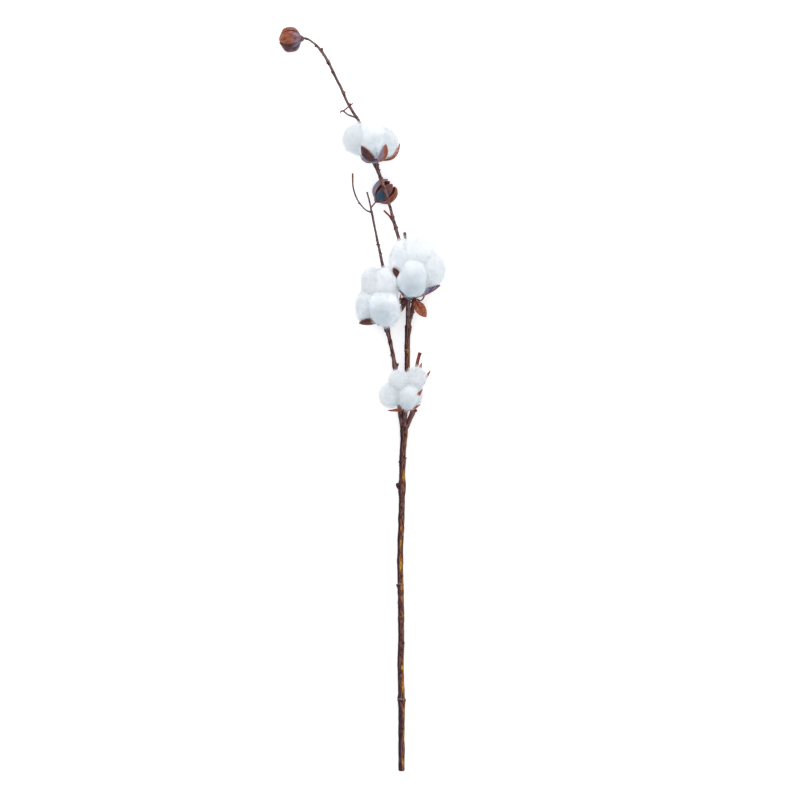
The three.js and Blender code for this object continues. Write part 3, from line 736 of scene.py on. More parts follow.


# The bolls

# base is where the stalk enters the bur, heart the middle of the cotton, and seat the round part under the
# valves: [size, tint, bloom, teal]. A valve is [tip, width, bulge, roll in degrees], rooted this spread off
# the base. Its look is [tint, bloom on its left, on its right, share of its length that cotton covers,
# fineness of its left rim, of its right rim, or 0 for none]. A lock is [centre, radii, degrees about +Z], and
# fluff how loose each one is. The cotton has grey-blue painted shade within shadeReach of the base, and comes
# out to the valves over it by the share draw.
bolls = {
    "boll_1": {
        "base": [-26.8, 639.5, 27],
        "heart": [-31.5, 660, 25],
        "seat": [4.2, 0.3, 1.3, 0],
        "spread": 4.2,
        "shadeReach": 18.5,
        "draw": 1,
        "valves": [
            [[-41.6, 654.8, 45.5], 15, 0.28, 14], [[-17, 656.4, 46.5], 14, 0.3, -8],
            [[-3, 658.4, 28], 12, 0.31, 0], [[-43, 650, 13], 12, 0.26, 0], [[-19, 655, 5], 12, 0.26, 0],
        ],
        "looks": [
            [0.0, 0.7, 0, 0, 20, 12], [0.75, 1.3, -0.9, 0, 12, 9], [0.8, 0, 0.2, 0, 9, 9],
            [0.2, 0.7, 0.7, 0, 12, 12], [0.2, 0.6, 0.6, 0, 12, 12],
        ],
        "fluff": [0.75, 1.2, 0.9, 1.2, 0.9],
        "locks": [
            [[-31, 662, 32], [16.4, 22.4, 15], 4], [[-48, 663, 29.5], [16.2, 16.6, 16], -20],
            [[-15.6, 658.5, 28], [13.8, 15.8, 14.6], 14], [[-43, 662, 16], [14, 16.6, 13.6], 0],
            [[-21, 660, 14.4], [14.4, 17, 15], 0],
        ],
    },
    "boll_2": {
        "base": [8.2, 497.5, 20],
        "heart": [16.5, 527, 27],
        # its seat's teal is painted shade
        "seat": [4.4, 0.1, 0.2, 1],
        "spread": 0,
        "shadeReach": 22.5,
        "draw": 1,
        "valves": [
            [[39.6, 510.4, 27], 15, 0.12, 32], [[-8.8, 528.6, 42], 12, 0.01, 60],
            [[1.4, 504, 4], 10.5, 0.2, 0], [[-6, 540, 12], 11, 0.3, 0], [[31, 515, 4], 11, 0.24, 0],
        ],
        "looks": [
            [0.9, 0, 0, 0, 0.6, 12], [0.1, 0, 0, 0.35, 20, 20], [0.4, 0.3, 0.3, 0, 12, 12],
            [0.3, 0.5, 0.5, 0.2, 12, 12], [0.4, 0.4, 0.4, 0, 12, 12],
        ],
        "fluff": [0.8, 0.9, 0.9, 1, 1],
        "locks": [
            [[11, 517, 36], [17.5, 22.4, 14.4], -2], [[16, 544, 28], [19.6, 17.4, 17], -12],
            [[-0.6, 538, 28], [13.2, 21, 15.4], -4], [[32.6, 527, 25.5], [15, 18, 16.4], 18],
            [[20, 526, 13.3], [17, 20, 15], 0],
        ],
    },
    "boll_3": {
        "base": [-20.6, 473.5, 17],
        "heart": [-26, 497, 25],
        "seat": [4, 0.15, 0.5, 0],
        "spread": 0,
        "shadeReach": 19,
        "draw": 1,
        "valves": [
            [[-44.6, 470.8, 26], 18, 0.11, 48], [[-24, 468.4, 30], 10, 0.1, 0],
            [[-2.6, 500.6, 30], 9, 0.2, 0], [[-46, 492, 5.5], 11, 0.24, 0], [[-8, 484, 5], 9, 0.16, 0],
        ],
        "looks": [
            [0.15, 0, 0, 0, 4, 0], [0.7, 0, 0, 0, 12, 12], [0.5, 0.6, 0, 0.72, 12, 12],
            [0.4, 0.4, 0.4, 0, 12, 12], [0.4, 0.4, 0.4, 0, 12, 12],
        ],
        "fluff": [0.75, 0.8, 0.9, 1, 1],
        "locks": [
            [[-17.8, 485, 33], [18, 21, 15], 18], [[-16.8, 512.6, 29], [13.6, 17, 15], -6],
            [[-37.4, 488.6, 23.5], [12.6, 16.6, 15], -10], [[-31, 514, 24], [13, 16.4, 14.6], 8],
            [[-27, 499, 13.4], [16, 20, 14.6], 0],
        ],
    },
    "boll_4": {
        "base": [4.8, 379.8, 21],
        "heart": [2.6, 402, 28],
        "seat": [3.8, 0.45, 0.2, 0],
        "spread": 0,
        "shadeReach": 13,
        "draw": 0,
        "valves": [
            [[-14.6, 379.4, 27], 9.5, 0.08, 30], [[18.8, 386, 40], 8, 0.12, 0],
            [[20.6, 402, 37.5], 14, 0.1, 0], [[30.6, 421, 19], 6, -0.02, -120],
            [[20.8, 428.6, 17], 8, 0.04, -120],
        ],
        "looks": [
            [0.6, 0, 0, 0.2, 9, 9], [0.8, 0, 0, 0.4, 12, 12], [0.9, 0.5, 0, 0.82, 6, 6],
            [0.8, 0, 0, 0.7, 12, 12], [0.8, 0, 0, 0.7, 12, 12],
        ],
        "fluff": [0.7, 0.8, 0.8, 0.9, 0.7],
        "locks": [
            [[7.8, 391.8, 34], [11.6, 13.8, 12], 0], [[-3, 410.6, 31], [11.4, 11.2, 12], 10],
            [[16, 413.4, 29], [11.2, 11.8, 12], -8], [[-12.6, 394, 27.5], [12.8, 14, 12.6], 12],
            [[11.2, 396, 27.5], [11.6, 15, 12], 0],
        ],
    },
}

blade = {
    "rows": 44,
    "around": 32,
    "thickness": 1.3,
    "edge": 0.4,  # an edge's thickness as a share of the middle's
    "cup": 0.42,  # how deep a valve is hollowed, as a share of its half width
    "striation": 0.16,  # depth of the fine lines along a valve
    "squeeze": [1, 1, 0.12],
    "waves": 0.5,  # how far its sides wave up and down
    "waver": 0.07,  # how uneven its outline is, as a share of its width
    "tipCurl": 0.05,  # how far the tip bends outwards, as a share of its length
}


# A valve's half width along its length: it swells fast from a narrow root and tapers to a point
def valveOutline(share):
    return np.clip(1.75 * (share + 0.03) ** 0.7 * held(1 - share) ** 0.62, 0.03, 1)


# A valve's root stands off the middle of the bur towards its tip
def valveRoot(boll, tip):
    base = np.array(boll["base"], float)
    away = unit(np.array(boll["heart"], float) - base)
    side = np.array(tip, float) - base
    return base + boll["spread"] * unit(side - away * (side @ away))


# A boat's line, a quadratic curve over an elbow, with its directions across and outwards, and its length
def boatLine(root, valve, heart, share):
    tip, _, bulge, roll = valve
    root, tip, heart = (np.array(v, float) for v in (root, tip, heart))
    chord = tip - root
    length = sizeOf(chord)
    axis = chord / length
    outward = (root + tip) / 2 - heart
    outward = unit(outward - axis * (outward @ axis))
    angle = math.radians(roll)
    outward = outward * math.cos(angle) + np.cross(axis, outward) * math.sin(angle)
    elbow = (root + tip) / 2 + outward * 2 * bulge * length
    s = share[:, None]
    line = root * (1 - s) ** 2 + elbow * 2 * s * (1 - s) + tip * s**2
    tangent = unit((elbow - root) * (1 - s) + (tip - elbow) * s)
    across = unit(np.cross(tangent, outward))
    return (line, across, unit(np.cross(across, tangent))), length


# Places this far to the side of a boat's line and this far outwards
def carried(course, spread, rise):
    line, across, off = (part[:, None] for part in course)
    return line + across * spread[..., None] + off * rise[..., None]


# A pointed boat: a thin lens-shaped section carried along the line. Its sides bend in towards the heart,
# its outline wavers, its outside is lined lengthwise, and its tip turns outwards.
def boatShell(root, valve, heart, look, seed):
    share = np.linspace(0, 1, blade["rows"])
    course, length = boatLine(root, valve, heart, share)
    half = (valve[1] / 2) * valveOutline(share)
    share, half = share[:, None], half[:, None]
    half = half * (1 + blade["waver"] * wavering(share, 9, seed))
    angle = circleOf(blade["around"])
    side = blunt(np.cos(angle), 0.8)
    thick = blade["thickness"] / 2 * (1 - (1 - blade["edge"]) * side**2)
    height = blunt(np.sin(angle), 0.5) * thick
    spread = side * half
    straight = gridOf(spread, height, share * length) + [0, 0, 60 * (seed % 50)]  # its own lines
    lines = softNoise(straight * blade["squeeze"], 0.7, seed + 1) * blade["striation"]
    thinning = 0.35 + 0.65 * np.sin(np.pi * share) ** 0.3
    rise = height * thinning - blade["cup"] * half * side**2 + lines * np.sin(angle)
    rise = rise + blade["waves"] * wavering(share, 5, seed + 2, 3) * side**2
    rise = rise + blade["tipCurl"] * length * share**5
    tint, bloomLeft, bloomRight, _, rimLeft, rimRight = look
    bloom = mixed(bloomLeft, bloomRight, 0.5 + 0.5 * side)
    fine = np.where(side < 0, rimLeft, rimRight)
    edge = np.where(fine > 0, np.abs(side) ** np.maximum(fine, 0.1), 0)
    values = {
        "inner": held(0.5 - 1.5 * np.sin(angle)),
        "rim": held(edge * 1.1 + held(share - 0.93) * 8) * 0.9,
        "bloom": bloom * held(1.9 - 1.5 * share),
        "tint": tint,
    }
    return closedTube(carried(course, spread, rise), values, straight)


seatLook = {
    "rows": 20,
    "around": 40,
    "frillAround": 14,
    "lobes": 0.05,  # depth of the five lobes, as a share of its size
    "squash": 0.7,  # its height, as a share of its width
    "frillRim": 0.35,  # how pale the frill is
}


# The round seat of a bur: a squashed ball about the line away from the stalk, with shallow lobes,
# and a frill of five short teeth round its foot.
def seatShell(base, away, seat, seed):
    size, tint, bloom, teal = seat
    side = unit(np.cross(away, [0.3, 0.1, 1]))
    deep = np.cross(away, side)
    angle = circleOf(seatLook["around"])
    circle = allRound(side, deep, angle)
    polar = np.linspace(0.04, np.pi - 0.04, seatLook["rows"])[:, None]
    lobes = 1 + seatLook["lobes"] * np.cos(5 * angle) * np.sin(polar)
    body = circle * (size * np.sin(polar) * lobes)[..., None]
    body = base + body - away * (seatLook["squash"] * size * np.cos(polar))[..., None]
    teeth = 0.5 + 0.5 * np.abs(np.cos(2.5 * angle)) ** 0.7 + 0.12 * softNoise(circle * 3, 0.6, seed)
    loop = circleOf(seatLook["frillAround"])[:, None]  # once round the frill's thin section
    upward = 0.5 - 0.5 * np.cos(loop)
    out = size * (0.72 + 0.34 * upward * teeth) + 0.25 * np.sin(loop)
    climb = size * (-0.5 + 0.75 * upward * teeth)
    frill = base + circle * out[..., None] + away * climb[..., None]
    frill = np.concatenate([frill, frill[:1]])
    looks = {"tint": tint, "bloom": bloom, "teal": teal}
    return [
        closedTube(rings, {**looks, "rim": rim}, gridOf(angle * size, 0, (rings - base) @ away))
        for rings, rim in ((body, 0.0), (frill, seatLook["frillRim"]))
    ]


def burShells(boll, order):
    base = np.array(boll["base"], float)
    shells = seatShell(base, unit(boll["heart"] - base), boll["seat"], 700 + order)
    for place, (valve, look) in enumerate(zip(boll["valves"], boll["looks"])):
        seed = 720 + 20 * order + 3 * place
        shells.append(boatShell(valveRoot(boll, valve[0]), valve, boll["heart"], look, seed))
    return shells


for order, (name, boll) in enumerate(bolls.items()):
    makePiece(name + "_husk", joined(burShells(boll, order)), huskFinish, "husk", name + "_bur")
print("burs made")


# The dried leaf and the forked bract under boll 2, here because fibres keep off them. A blade is written
# as a valve is.
leaves = {
    "boll_2_leaf": {
        "root": [13.2, 494.6, 13], "heart": [19, 484, -20], "blades": [[[26, 476.2, 13], 13.5, 0.08, 0]],
        "dark": 0.0,
    },
    "boll_2_bract": {
        "root": [6, 497.4, 14.6], "heart": [-2, 492, -10],
        "blades": [[[-3.6, 490, 16.5], 7.4, 0.1, 20], [[-2.6, 479.4, 13], 6.4, 0.1, 20]],
        "dark": 0.85,
    },
}


# The cotton

cotton = {
    "rows": 50,
    "around": 74,
    "lobes": 0.06,  # slow lumps of a lock, as a share of its radius
    "tufts": 0.4,  # depth of the tufts on its surface
    "lint": 0.12,  # depth of its finest lumps
    "lumps": [3.4, 1.9, 1.1],  # how large the tufts and the finest lumps are
    "inset": 3.4,  # how much smaller than its ball its body is, for the loose fibres to fill
    "web": 2.5,  # how far lint fills the crease between two locks
    "webReach": 0.28,  # how wide that filling is, as a share of a lock's radius
    "webFull": 12,  # it is thinner where a lock reaches less far than this
    "gap": -0.1,  # between two locks' bodies; below 0 they overlap a little
    "blend": 0.05,  # depth in another lock over which one stops, as a share of a lock's radius
    "crease": [0.25, 0.15],  # how much painted shade a crease has, and how wide, as a share of a lock's radius
    "flat": 1.5,  # nearer to the table than this, cotton is pressed flat and has few loose fibres
    "neighbours": 60,  # locks whose middles are further apart can't meet
    "leastReach": 0.22,  # how much of itself a lock keeps where others stop it
    "shadeRise": 0.5,  # how much less height counts than the rest in how near cotton is to the base
    "valveRoom": 1.0,  # from the middle of a valve to the cotton behind it
    "valveSlope": 1.1,  # how steeply the cotton swells past a valve's edge
    "valveLip": 0.8,  # from this far past the edge
    "valveDepth": 9,  # cotton further in than this isn't pushed
    "pressed": 0.4,  # cotton that a valve pushes this far has no loose fibres
    "valveHold": 5.0,  # cotton further out than this covers the valve
    "valveDraw": [6.0, 12.0],  # cotton is drawn out to a valve that it lies this far behind, or partly
    "drawReach": 4.0,  # how far past the valve's edge that still shows
}

fibres = {
    "drawn": 11000,  # drawn for each lock; those that something presses on are left out
    "most": 23000,  # for each boll
    "length": [2.5, 8.0],
    "freedom": [0.1, 0.9],  # how freely the cotton has to lie for a fibre is drawn between these
    "bend": 0.9,  # radians that a fibre turns from end to end
    "leastBend": 0.05,
    "lift": 1.25,  # how far fibres stand off the cotton, thinning out upwards
    "highest": 4.5,
    "lowest": 0.08,  # over the table
    "rise": [0.3, 1.6],  # how far a fibre climbs along its length
    "loops": 0.7,  # the share whose far end comes back down
    "roundness": 16.0,  # radius that the fibres lie on
    "sunk": 0.25,
    "aside": 1.3,  # how far past the edge of a valve it has no fibre over it
    "thickness": 0.17,
}


def turned(points, degrees):
    c, s = math.cos(math.radians(degrees)), math.sin(math.radians(degrees))
    return points @ np.array([[c, s, 0], [-s, c, 0], [0, 0, 1]])


# Where places are against the ball of a lock's body: its middle is 0, its surface 1
def inBall(places, lock):
    centre, _, turn = lock
    return turned(places - centre, -turn) / bodyRadii[id(lock)]


# Places all over a boll's valves, but where cotton covers them, and which way each faces
def valvePoints(boll):
    side = np.linspace(-1, 1, 9)
    spots, ways = [], []
    for valve, look in zip(boll["valves"], boll["looks"]):
        share = np.linspace(max(0.02, look[3]), 1, 26)
        course, _ = boatLine(valveRoot(boll, valve[0]), valve, boll["heart"], share)
        half = ((valve[1] / 2) * valveOutline(share))[:, None]
        spots.append(carried(course, side * half, -blade["cup"] * half * side**2).reshape(-1, 3))
        ways.append(np.repeat(course[2], len(side), axis=0))
    return np.concatenate(spots), np.concatenate(ways)


# Which way the valve nearest to each place faces, how high over it the place is that way, and how far aside
def overNearest(places, valveSpots, valveWays):
    squares = (places**2).sum(1)[:, None] + (valveSpots**2).sum(1)[None] - 2 * places @ valveSpots.T
    nearest = squares.argmin(axis=1)
    apart, way = places - valveSpots[nearest], valveWays[nearest]
    height = (apart * way).sum(axis=1)
    return way, height, sizeOf(apart - way * height[:, None])


allLocks = [lock for boll in bolls.values() for lock in boll["locks"]]
bodyRadii = {
    id(lock): np.array(lock[1]) - cotton["inset"] * fluff
    for boll in bolls.values() for lock, fluff in zip(boll["locks"], boll["fluff"])
}
lockOrder = {id(lock): order for order, lock in enumerate(allLocks)}


# The surface of a lock in these directions from its centre, how freely it lies there, and how near it is to
# another lock. It is a ball with slow lobes that stops at the near side of a lock placed before it. Lint
# fills the creases. It steps back behind valves or comes out to them, and lies flat on the table.
def lockSurface(lock, boll, ways):
    centre, radii, turn = np.array(lock[0], float), bodyRadii[id(lock)], lock[2]
    order = lockOrder[id(lock)]
    reach = 1 / sizeOf(turned(ways, -turn) / radii)
    reach = reach * (1 + cotton["lobes"] * (softNoise(ways + 3 * order, 0.55, 80 + order)))
    free = np.ones(reach.shape)
    crease = np.zeros(reach.shape)
    for other in allLocks:
        if other is lock or sizeOf(other[0] - centre) > cotton["neighbours"]:
            continue
        start = inBall(centre, other)
        step = turned(ways, -other[2]) / bodyRadii[id(other)]
        depth = sizeOf(start + step * reach[..., None]) - 1
        if lockOrder[id(other)] < order:
            a = (step**2).sum(axis=-1)
            b = (step * start).sum(axis=-1)
            c = (start**2).sum() - 1
            near = (-b - np.sqrt(np.maximum(b**2 - a * c, 0))) / a - cotton["gap"]
            stop = np.maximum(np.where(c > 0, near, 0), cotton["leastReach"] * reach)
            reach = mixed(reach, np.minimum(stop, reach), eased(held(-depth / cotton["blend"])))
        web = cotton["web"] * np.exp(-np.abs(depth) / cotton["webReach"])
        reach = reach + web * np.minimum(1, reach / cotton["webFull"])
        free = free * held(1 + depth / cotton["blend"])
        crease = np.maximum(crease, np.exp(-np.abs(depth) / cotton["crease"][1]))
    spots = centre + ways * reach[..., None]
    large, small, finest = cotton["lumps"]
    tufts = softNoise(spots, large, 91) + 0.6 * softNoise(spots, small, 92)
    lint = softNoise(spots, finest, 93)
    spots = spots + ways * (cotton["tufts"] * tufts + cotton["lint"] * lint)[..., None]
    spots, pressed = behindValves(spots, boll)
    free = free * (1 - pressed)
    free = free * held(spots[..., 2] / cotton["flat"])
    spots[..., 2] = 0.5 * (spots[..., 2] + np.sqrt(spots[..., 2] ** 2 + 0.3)) - 0.1
    return spots, free, crease


# Moves places to the inner side of a valve: their height over its nearest place may be no more than minus
# its room, plus a slope for the distance past its edge. Places a little way behind it are drawn out to it.
# It also gives how much each was pushed.
def behindValves(spots, boll):
    flat = spots.reshape(-1, 3)
    way, height, beside = overNearest(flat, *valvePoints(boll))
    excess = height + cotton["valveRoom"] - cotton["valveSlope"] * np.maximum(beside - cotton["valveLip"], 0)
    push = np.maximum(excess, 0) * held(cotton["valveHold"] + 1 - height) * (height > -cotton["valveDepth"])
    behind = -cotton["valveRoom"] - height
    near, far = cotton["valveDraw"]
    pull = behind * held((far - behind) / (far - near)) * bell(beside, cotton["drawReach"])
    moved = flat + way * (np.where(behind > 0, boll["draw"] * pull, 0) - push)[:, None]
    return moved.reshape(spots.shape), held(push / cotton["pressed"]).reshape(spots.shape[:-1])


# How much grey-blue painted shade the cotton has: a bell shape round the base of its boll, and less of it in
# the creases
def shadeAt(spots, boll, crease):
    apart = (spots - boll["base"]) * [1, 1, cotton["shadeRise"]]
    foot = bell(sizeOf(apart), boll["shadeReach"])
    return 1 - (1 - foot) * (1 - cotton["crease"][0] * crease)


# A lock is its surface on a grid of directions: rows from pole to pole along +Y, columns round it
def lockShell(lock, boll):
    polar = np.linspace(0.02, np.pi - 0.02, cotton["rows"])[:, None]
    angle = circleOf(cotton["around"])
    ways = gridOf(np.sin(polar) * np.cos(angle), np.cos(polar), np.sin(polar) * np.sin(angle))
    spots, _, crease = lockSurface(lock, boll, ways)
    return closedTubes(spots[None], {"shade": shadeAt(spots, boll, crease)[None]})


# The leaves written as bolls are, for fibres to keep off
leafBoats = [
    {
        "base": leaf["root"], "heart": leaf["heart"], "spread": 0, "valves": leaf["blades"],
        "looks": [[0] * 6] * len(leaf["blades"]), "over": 30,  # the height over a blade that is kept free
    }
    for leaf in leaves.values()
]


# Which fibres run over the outside of a valve: one of their places is right over the valve's nearest place
def overValves(line):
    over = np.zeros(len(line), bool)
    for boll in [*bolls.values(), *leafBoats]:
        valveSpots, valveWays = valvePoints(boll)
        tallest = boll.get("over", cotton["valveHold"] + 1)
        low, high = valveSpots.min(axis=0) - tallest, valveSpots.max(axis=0) + tallest
        for station in range(line.shape[1]):
            places = line[:, station]
            close = np.flatnonzero(((places > low) & (places < high)).all(axis=1) & ~over)
            for some in np.array_split(close, 1 + len(close) // 4000):
                _, height, beside = overNearest(places[some], valveSpots, valveWays)
                over[some] |= (beside < fibres["aside"]) & (height > -0.7) & (height < tallest)
    return over


# Fibres are thin three-sided needles, pointed at both ends. After a share t of its length L, one that turns
# by b has gone L sin(bt) / b onward and L (1 - cos(bt)) / b aside. Its height over the cotton is drawn so
# that fibres thin out upwards. It bends down with the lock, and climbs by a sine of t if its far end comes
# back down, or by the square of t if that end is loose.
def fibreShell(boll, order):
    draw = np.random.default_rng(1200 + order)
    roots, normals, fluff, creases = [], [], [], []
    for place, lock in enumerate(boll["locks"]):
        ways = unit(draw.normal(size=(int(fibres["drawn"] * boll["fluff"][place]), 3)))
        spots, free, crease = lockSurface(lock, boll, ways)
        local = turned(spots - lock[0], -lock[2]) / bodyRadii[id(lock)] ** 2
        keep = free > draw.uniform(*fibres["freedom"], len(free))
        roots.append(spots[keep])
        normals.append(unit(turned(local, lock[2]))[keep])
        fluff.append(np.full(keep.sum(), boll["fluff"][place]))
        creases.append(crease[keep])
    roots, normals, fluff, creases = (np.concatenate(v) for v in (roots, normals, fluff, creases))
    chosen = draw.permutation(len(roots))[: fibres["most"]]
    roots, normals, fluff = roots[chosen, None], normals[chosen, None], fluff[chosen, None, None]
    alone = (len(chosen), 1, 1)
    along = unit(np.cross(normals, draw.normal(size=(len(chosen), 1, 3))))
    sideways = np.cross(normals, along)
    length = draw.uniform(*fibres["length"], alone) * (0.7 + 0.3 * fluff)
    bend = draw.normal(0, fibres["bend"], alone)
    bend = np.where(np.abs(bend) < fibres["leastBend"], fibres["leastBend"], bend)
    lift = np.minimum(-np.log(draw.uniform(0.001, 1, alone)) * fibres["lift"] * fluff, fibres["highest"])
    climb = draw.uniform(*fibres["rise"], alone) * fluff
    t = np.array([0, 0.5, 1])[None, :, None]
    onward = length * np.sin(bend * t) / bend
    aside = length * (1 - np.cos(bend * t)) / bend
    isLoop = draw.uniform(size=alone) < fibres["loops"]
    rise = lift + climb * np.where(isLoop, 0.4 * np.sin(np.pi * t), t**2) - fibres["sunk"]
    drop = (onward**2 + aside**2) / (2 * fibres["roundness"])
    line = roots + along * onward + sideways * aside + normals * (rise - drop)
    line[..., 2] = np.maximum(line[..., 2], fibres["lowest"])
    rings = line[:, 1:2, None] + allRound(normals, sideways, circleOf(3)) * fibres["thickness"] / 2
    kept = ~overValves(line)
    rings, line, crease = rings[kept], line[kept], creases[chosen[kept], None, None]
    return closedTubes(rings, {"shade": shadeAt(rings, boll, crease)}, tips=line[:, [0, 2]])


for order, (name, boll) in enumerate(bolls.items()):
    for place, lock in enumerate(boll["locks"]):
        node = f"{name}_lock_{place + 1}"
        makePiece(node + "_cotton", lockShell(lock, boll), cottonFinish, "cotton", node)
    makePiece(name + "_fibres", fibreShell(boll, order), fibreFinish, "cotton")
print("cotton made")


# The empty seed cases

# Five valves stand round a bare hollow and part at their tips by open degrees. length is against the width,
# slit the share of the way round that walls cover, end where valves end, in radians from the base. taper
# narrows the half next to the stalk, point is the share of its width that a valve keeps at its ends, corners
# how far six flats show, and lap how far one edge of each valve tucks under the next. A valve is [width
# against slit, tint, bloom, teal, degrees that it stands aside].
seedCases = {
    "empty_case_top": {
        "base": [-104.4, 768.3, 14.6], "middle": [-116.4, 767, 14.2], "radius": 13, "length": 0.89,
        "open": 0, "turn": 5, "slit": 0.975, "end": 3, "taper": 1.55, "point": 0.85,
        "valves": [
            [1.07, 0.6, 0.3, 0, -3], [1.07, 0.72, 0.45, 0, 0], [1.07, 0.05, 0.4, 0, 0],
            [1.07, 0.3, 0, 0, 0], [1.07, 0.3, 0.5, 0, 0],
        ],
        "corners": 0.035, "lap": 1.5,
    },
    "empty_case_side": {
        "base": [-26, 598.6, 13.8], "middle": [-16.6, 608.6, 14.2], "radius": 11.9, "length": 1.06,
        "open": 5, "turn": 20, "slit": 0.95, "end": 2.75, "taper": 1.25, "point": 0.15,
        "valves": [
            [0.95, 0.5, 0.3, 0, 0], [0.86, 0.35, 0.3, 1.2, -5], [1, 0.2, 1.3, 0, 0], [1, 0.4, 0.5, 0, 0],
            [1, 0.3, 0.4, 0, 0],
        ],
        "corners": 0.02, "lap": 0,
    },
}

caseLook = {
    "start": 0.12,  # where the valves start, in radians from the base
    "narrowing": 0.35,  # how late the valves narrow toward their ends: near 0 is last of all
    "seat": [3.2, 0.15, 0.5, 0],  # as a boll's
    "wall": 1.1,
    "waver": 0.03,  # how uneven a valve's outline is
    "ridge": 0.35,  # height of the ridge down the middle of each valve
    "rows": 48,
    "around": 40,
    "lines": 0.16,  # depth of the lines from base to tip
    "seam": 0.5,  # how far the walls turn in at the slits
    "squeeze": [1, 1, 0.1],
    "column": 0.62,  # height of the thin column inside, as a share of the case's length
    "columnRadius": 1.5,
    "columnRows": 16,
    "columnAround": 14,
}


# A valve of a case is a strip of a ball from base to tip, of its full width for most of the way, swung open
# about the base
def caseShells(case, seed):
    base = np.array(case["base"], float)
    away = unit(np.array(case["middle"], float) - base)
    shells = seatShell(base, away, caseLook["seat"], seed)
    radius, lapped = case["radius"], min(1, case["lap"])
    share = np.linspace(0, 1, caseLook["rows"])[:, None]
    loop = circleOf(caseLook["around"])
    side = blunt(np.cos(loop), 0.7)
    height = blunt(np.sin(loop), 0.5) * caseLook["wall"] / 2
    polar = mixed(caseLook["start"], case["end"], share)
    girth = np.sin(polar) ** np.where(polar < np.pi / 2, case["taper"], 1)
    swell = held(np.sin(np.pi * share)) ** caseLook["narrowing"]
    outline = mixed(case["point"], 1, swell)
    count = len(case["valves"])
    for valve, (widen, tint, bloom, teal, aside) in enumerate(case["valves"]):
        heading = math.radians(case["turn"] + 360 / count * valve + aside)
        half = math.pi / count * case["slit"] * widen * outline
        half = half * (1 + caseLook["waver"] * wavering(share, 7, seed + valve))
        around = heading - side * half
        straight = gridOf(side * half * radius * girth, height, share * 2.6 * radius)
        straight = straight + [0, 0, 70 * valve + 400 * (seed % 7)]  # its own lines
        lines = caseLook["lines"] * softNoise(straight * caseLook["squeeze"], 0.9, seed + 9) * np.sin(loop)
        tucked = held((side - 0.72) / 0.28)
        turnedIn = caseLook["seam"] * np.abs(side) ** 6 + case["lap"] * tucked
        ridge = caseLook["ridge"] * bell(side, 0.12) * (height > 0)
        reach = radius * (1 + case["corners"] * np.cos(6 * polar)) + height + lines - turnedIn + ridge
        up = radius * case["length"] - reach * np.cos(polar) * case["length"]
        spots = gridOf(reach * girth * np.cos(around), up, reach * girth * np.sin(around))
        edge = np.abs(side) ** 14 * (1 - tucked * lapped) + 6 * held(share - 0.95)
        values = {
            "inner": held(0.5 - 1.5 * np.sin(loop)),
            "rim": 0.55 * held(edge),
            "bloom": held(bloom + 0.5 - share),
            # painted shadow: darker beside the edge that tucks under the next valve
            "tint": tint * (1 - lapped * held((side - 0.6) / 0.2)),
            # painted shade in teal, strongest near the base
            "teal": teal * held(2.2 - 2.6 * share),
        }
        rings = base + standing(swung(spots, heading, math.radians(case["open"])), away)
        shells.append(closedTube(rings, values, straight))
    shells.append(columnShell(base, away, case, seed))
    return shells


# Swings places open about the base, for a valve that faces heading
def swung(spots, heading, angle):
    outward = np.array([math.cos(heading), 0, math.sin(heading)])
    upward = np.array([0, 1, 0])
    out, up = spots @ outward, spots[..., 1]
    rest = spots - out[..., None] * outward - up[..., None] * upward
    newOut = out * math.cos(angle) + up * math.sin(angle)
    newUp = up * math.cos(angle) - out * math.sin(angle)
    return rest + newOut[..., None] * outward + newUp[..., None] * upward


# Stands +Y along a direction by the shortest turn
def standing(spots, away):
    axis = np.cross([0, 1, 0], away)
    s, c = sizeOf(axis), away[1]
    axis = axis / s
    along = (spots @ axis)[..., None] * axis
    return spots * c + np.cross(axis, spots) * s + along * (1 - c)


# The thin column that the seeds hung from, a narrow cone with a ragged top
def columnShell(base, away, case, seed):
    share = np.linspace(0, 1, caseLook["columnRows"])[:, None]
    angle = circleOf(caseLook["columnAround"])
    tall = 2 * case["radius"] * case["length"] * caseLook["column"]
    wide = caseLook["columnRadius"] * (1 - 0.72 * share) * (1 + 0.35 * np.cos(5 * angle)) + 0.1
    spots = gridOf(wide * np.cos(angle), tall * share, wide * np.sin(angle))
    return closedTube(base + standing(spots, away), {"tint": 1, "rim": 0.9}, spots + seed)


for order, (name, case) in enumerate(seedCases.items()):
    makePiece(name + "_husk", joined(caseShells(case, 900 + 20 * order)), caseFinish, "husk", name)
print("seed cases made")


leafLook = {
    "rows": 60,
    "around": 44,
    "thickness": 0.75,
    "cup": 0.3,
    "midrib": 0.28,
    "veins": 7,
    "veinDepth": 0.16,
    "waver": 0.05,  # how uneven its outline is
    "waves": 0.45,  # how far it waves up and down
}


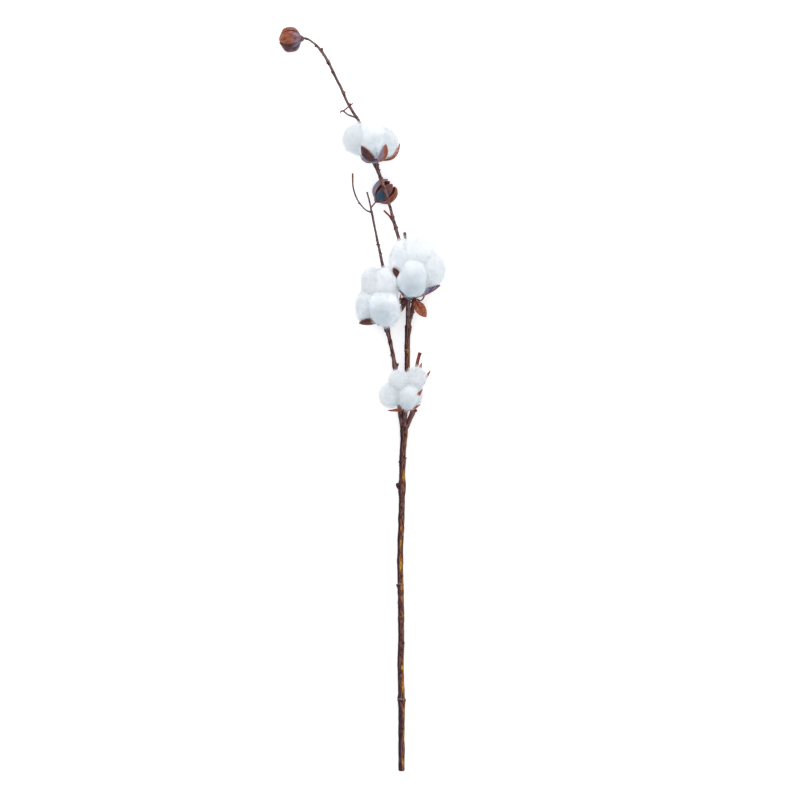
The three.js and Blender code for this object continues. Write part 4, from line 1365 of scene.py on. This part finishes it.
# A leaf is a thin boat. Its rib is a narrow bell across the blade, its veins a wave of the way along less
# the way out to the side.
def leafShells(leaf, seed):
    shells = []
    for place, valve in enumerate(leaf["blades"]):
        share = np.linspace(0, 1, leafLook["rows"])
        course, length = boatLine(leaf["root"], valve, leaf["heart"], share)
        share, width = share[:, None], valve[1]
        loop = circleOf(leafLook["around"])
        side = blunt(np.cos(loop), 0.9)
        half = (width / 2) * np.clip(2.75 * (share + 0.01) ** 0.85 * (1.0 - share) ** 0.85, 0.04, 1)
        half = half * (1 + leafLook["waver"] * wavering(share, 11, seed + place))
        spread = side * half
        slant = share - 0.16 * np.abs(side) * width / 11.5
        veins = held(np.cos(2 * np.pi * leafLook["veins"] * slant)) ** 4
        veins = veins * held(3 * np.abs(side))
        rib = bell(side, 0.2) * (1 - 0.6 * share)
        rise = -leafLook["cup"] * half * side**2 + np.sin(loop) * leafLook["thickness"] / 2
        rise = rise + np.sign(np.sin(loop)) * (leafLook["midrib"] * rib + leafLook["veinDepth"] * veins)
        waves = softNoise(gridOf(spread * 0.25, share * 6, 0), 1, seed + 5)
        rings = carried(course, spread, rise + leafLook["waves"] * waves * side**2)
        values = {
            "vein": held(rib + 0.95 * veins),
            "dark": leaf["dark"],
            "rim": held(np.abs(side) ** 16) * 0.8,
        }
        straight = gridOf(spread, 0, share * length) + [0, 0, 40 * place]
        shells.append(closedTube(rings, values, straight))
    return shells


for order, (name, leaf) in enumerate(leaves.items()):
    makePiece(name + "_blade", joined(leafShells(leaf, 1000 + 20 * order)), leafFinish, "leaf", name)
print("leaves made")


# The floor, the light and the camera, looking straight down as the photograph does
studio = {
    "floorSize": 24.0,
    "view": [0.0381, -0.0008, 7.0],
    "lens": 300.0,
    "sensor": 36.0,
    "farthest": 60.0,
    "sky": [(0.92, 0.965, 1.0), 0.94],  # colour, strength
    "lamp": [(0.3, 3.2, 2.0), (0.0, 0.05, 0.02), 1.8, 50.0],  # place, aim, size, watts
    "lampColour": (1.0, 0.985, 0.96),
}


def makeStudio():
    half = studio["floorSize"] / 2
    mesh = bpy.data.meshes.new("floor")
    corners = [(-half, -half, 0), (half, -half, 0), (half, half, 0), (-half, half, 0)]
    mesh.from_pydata(corners, [], [(0, 1, 2, 3)])
    mesh.materials.append(floorMaterial())
    placed("floor", mesh, (0, 0, 0))
    world = bpy.data.worlds.new("sky")
    world.use_nodes = True
    background = world.node_tree.nodes["Background"]
    background.inputs["Color"].default_value = (*studio["sky"][0], 1)
    background.inputs["Strength"].default_value = studio["sky"][1]
    bpy.context.scene.world = world
    place, aim, size, power = studio["lamp"]
    lamp = bpy.data.lights.new("key", "AREA")
    lamp.shape = "DISK"
    lamp.size = size
    lamp.energy = power
    lamp.color = studio["lampColour"]
    holder = placed("key", lamp, place)
    x, y, z = np.array(aim) - place
    holder.rotation_euler = (math.atan2(math.hypot(x, y), -z), 0, math.atan2(-x, y))
    holder.visible_camera = False
    camera = bpy.data.cameras.new("camera")
    camera.lens = studio["lens"]
    camera.sensor_width = studio["sensor"]
    camera.clip_end = studio["farthest"]
    bpy.context.scene.camera = placed("camera", camera, studio["view"])
    bpy.context.scene.view_settings.view_transform = "Standard"


makeStudio()
print("studio made")


def corners(box):
    return [[float(v) for v in corner] for corner in box]
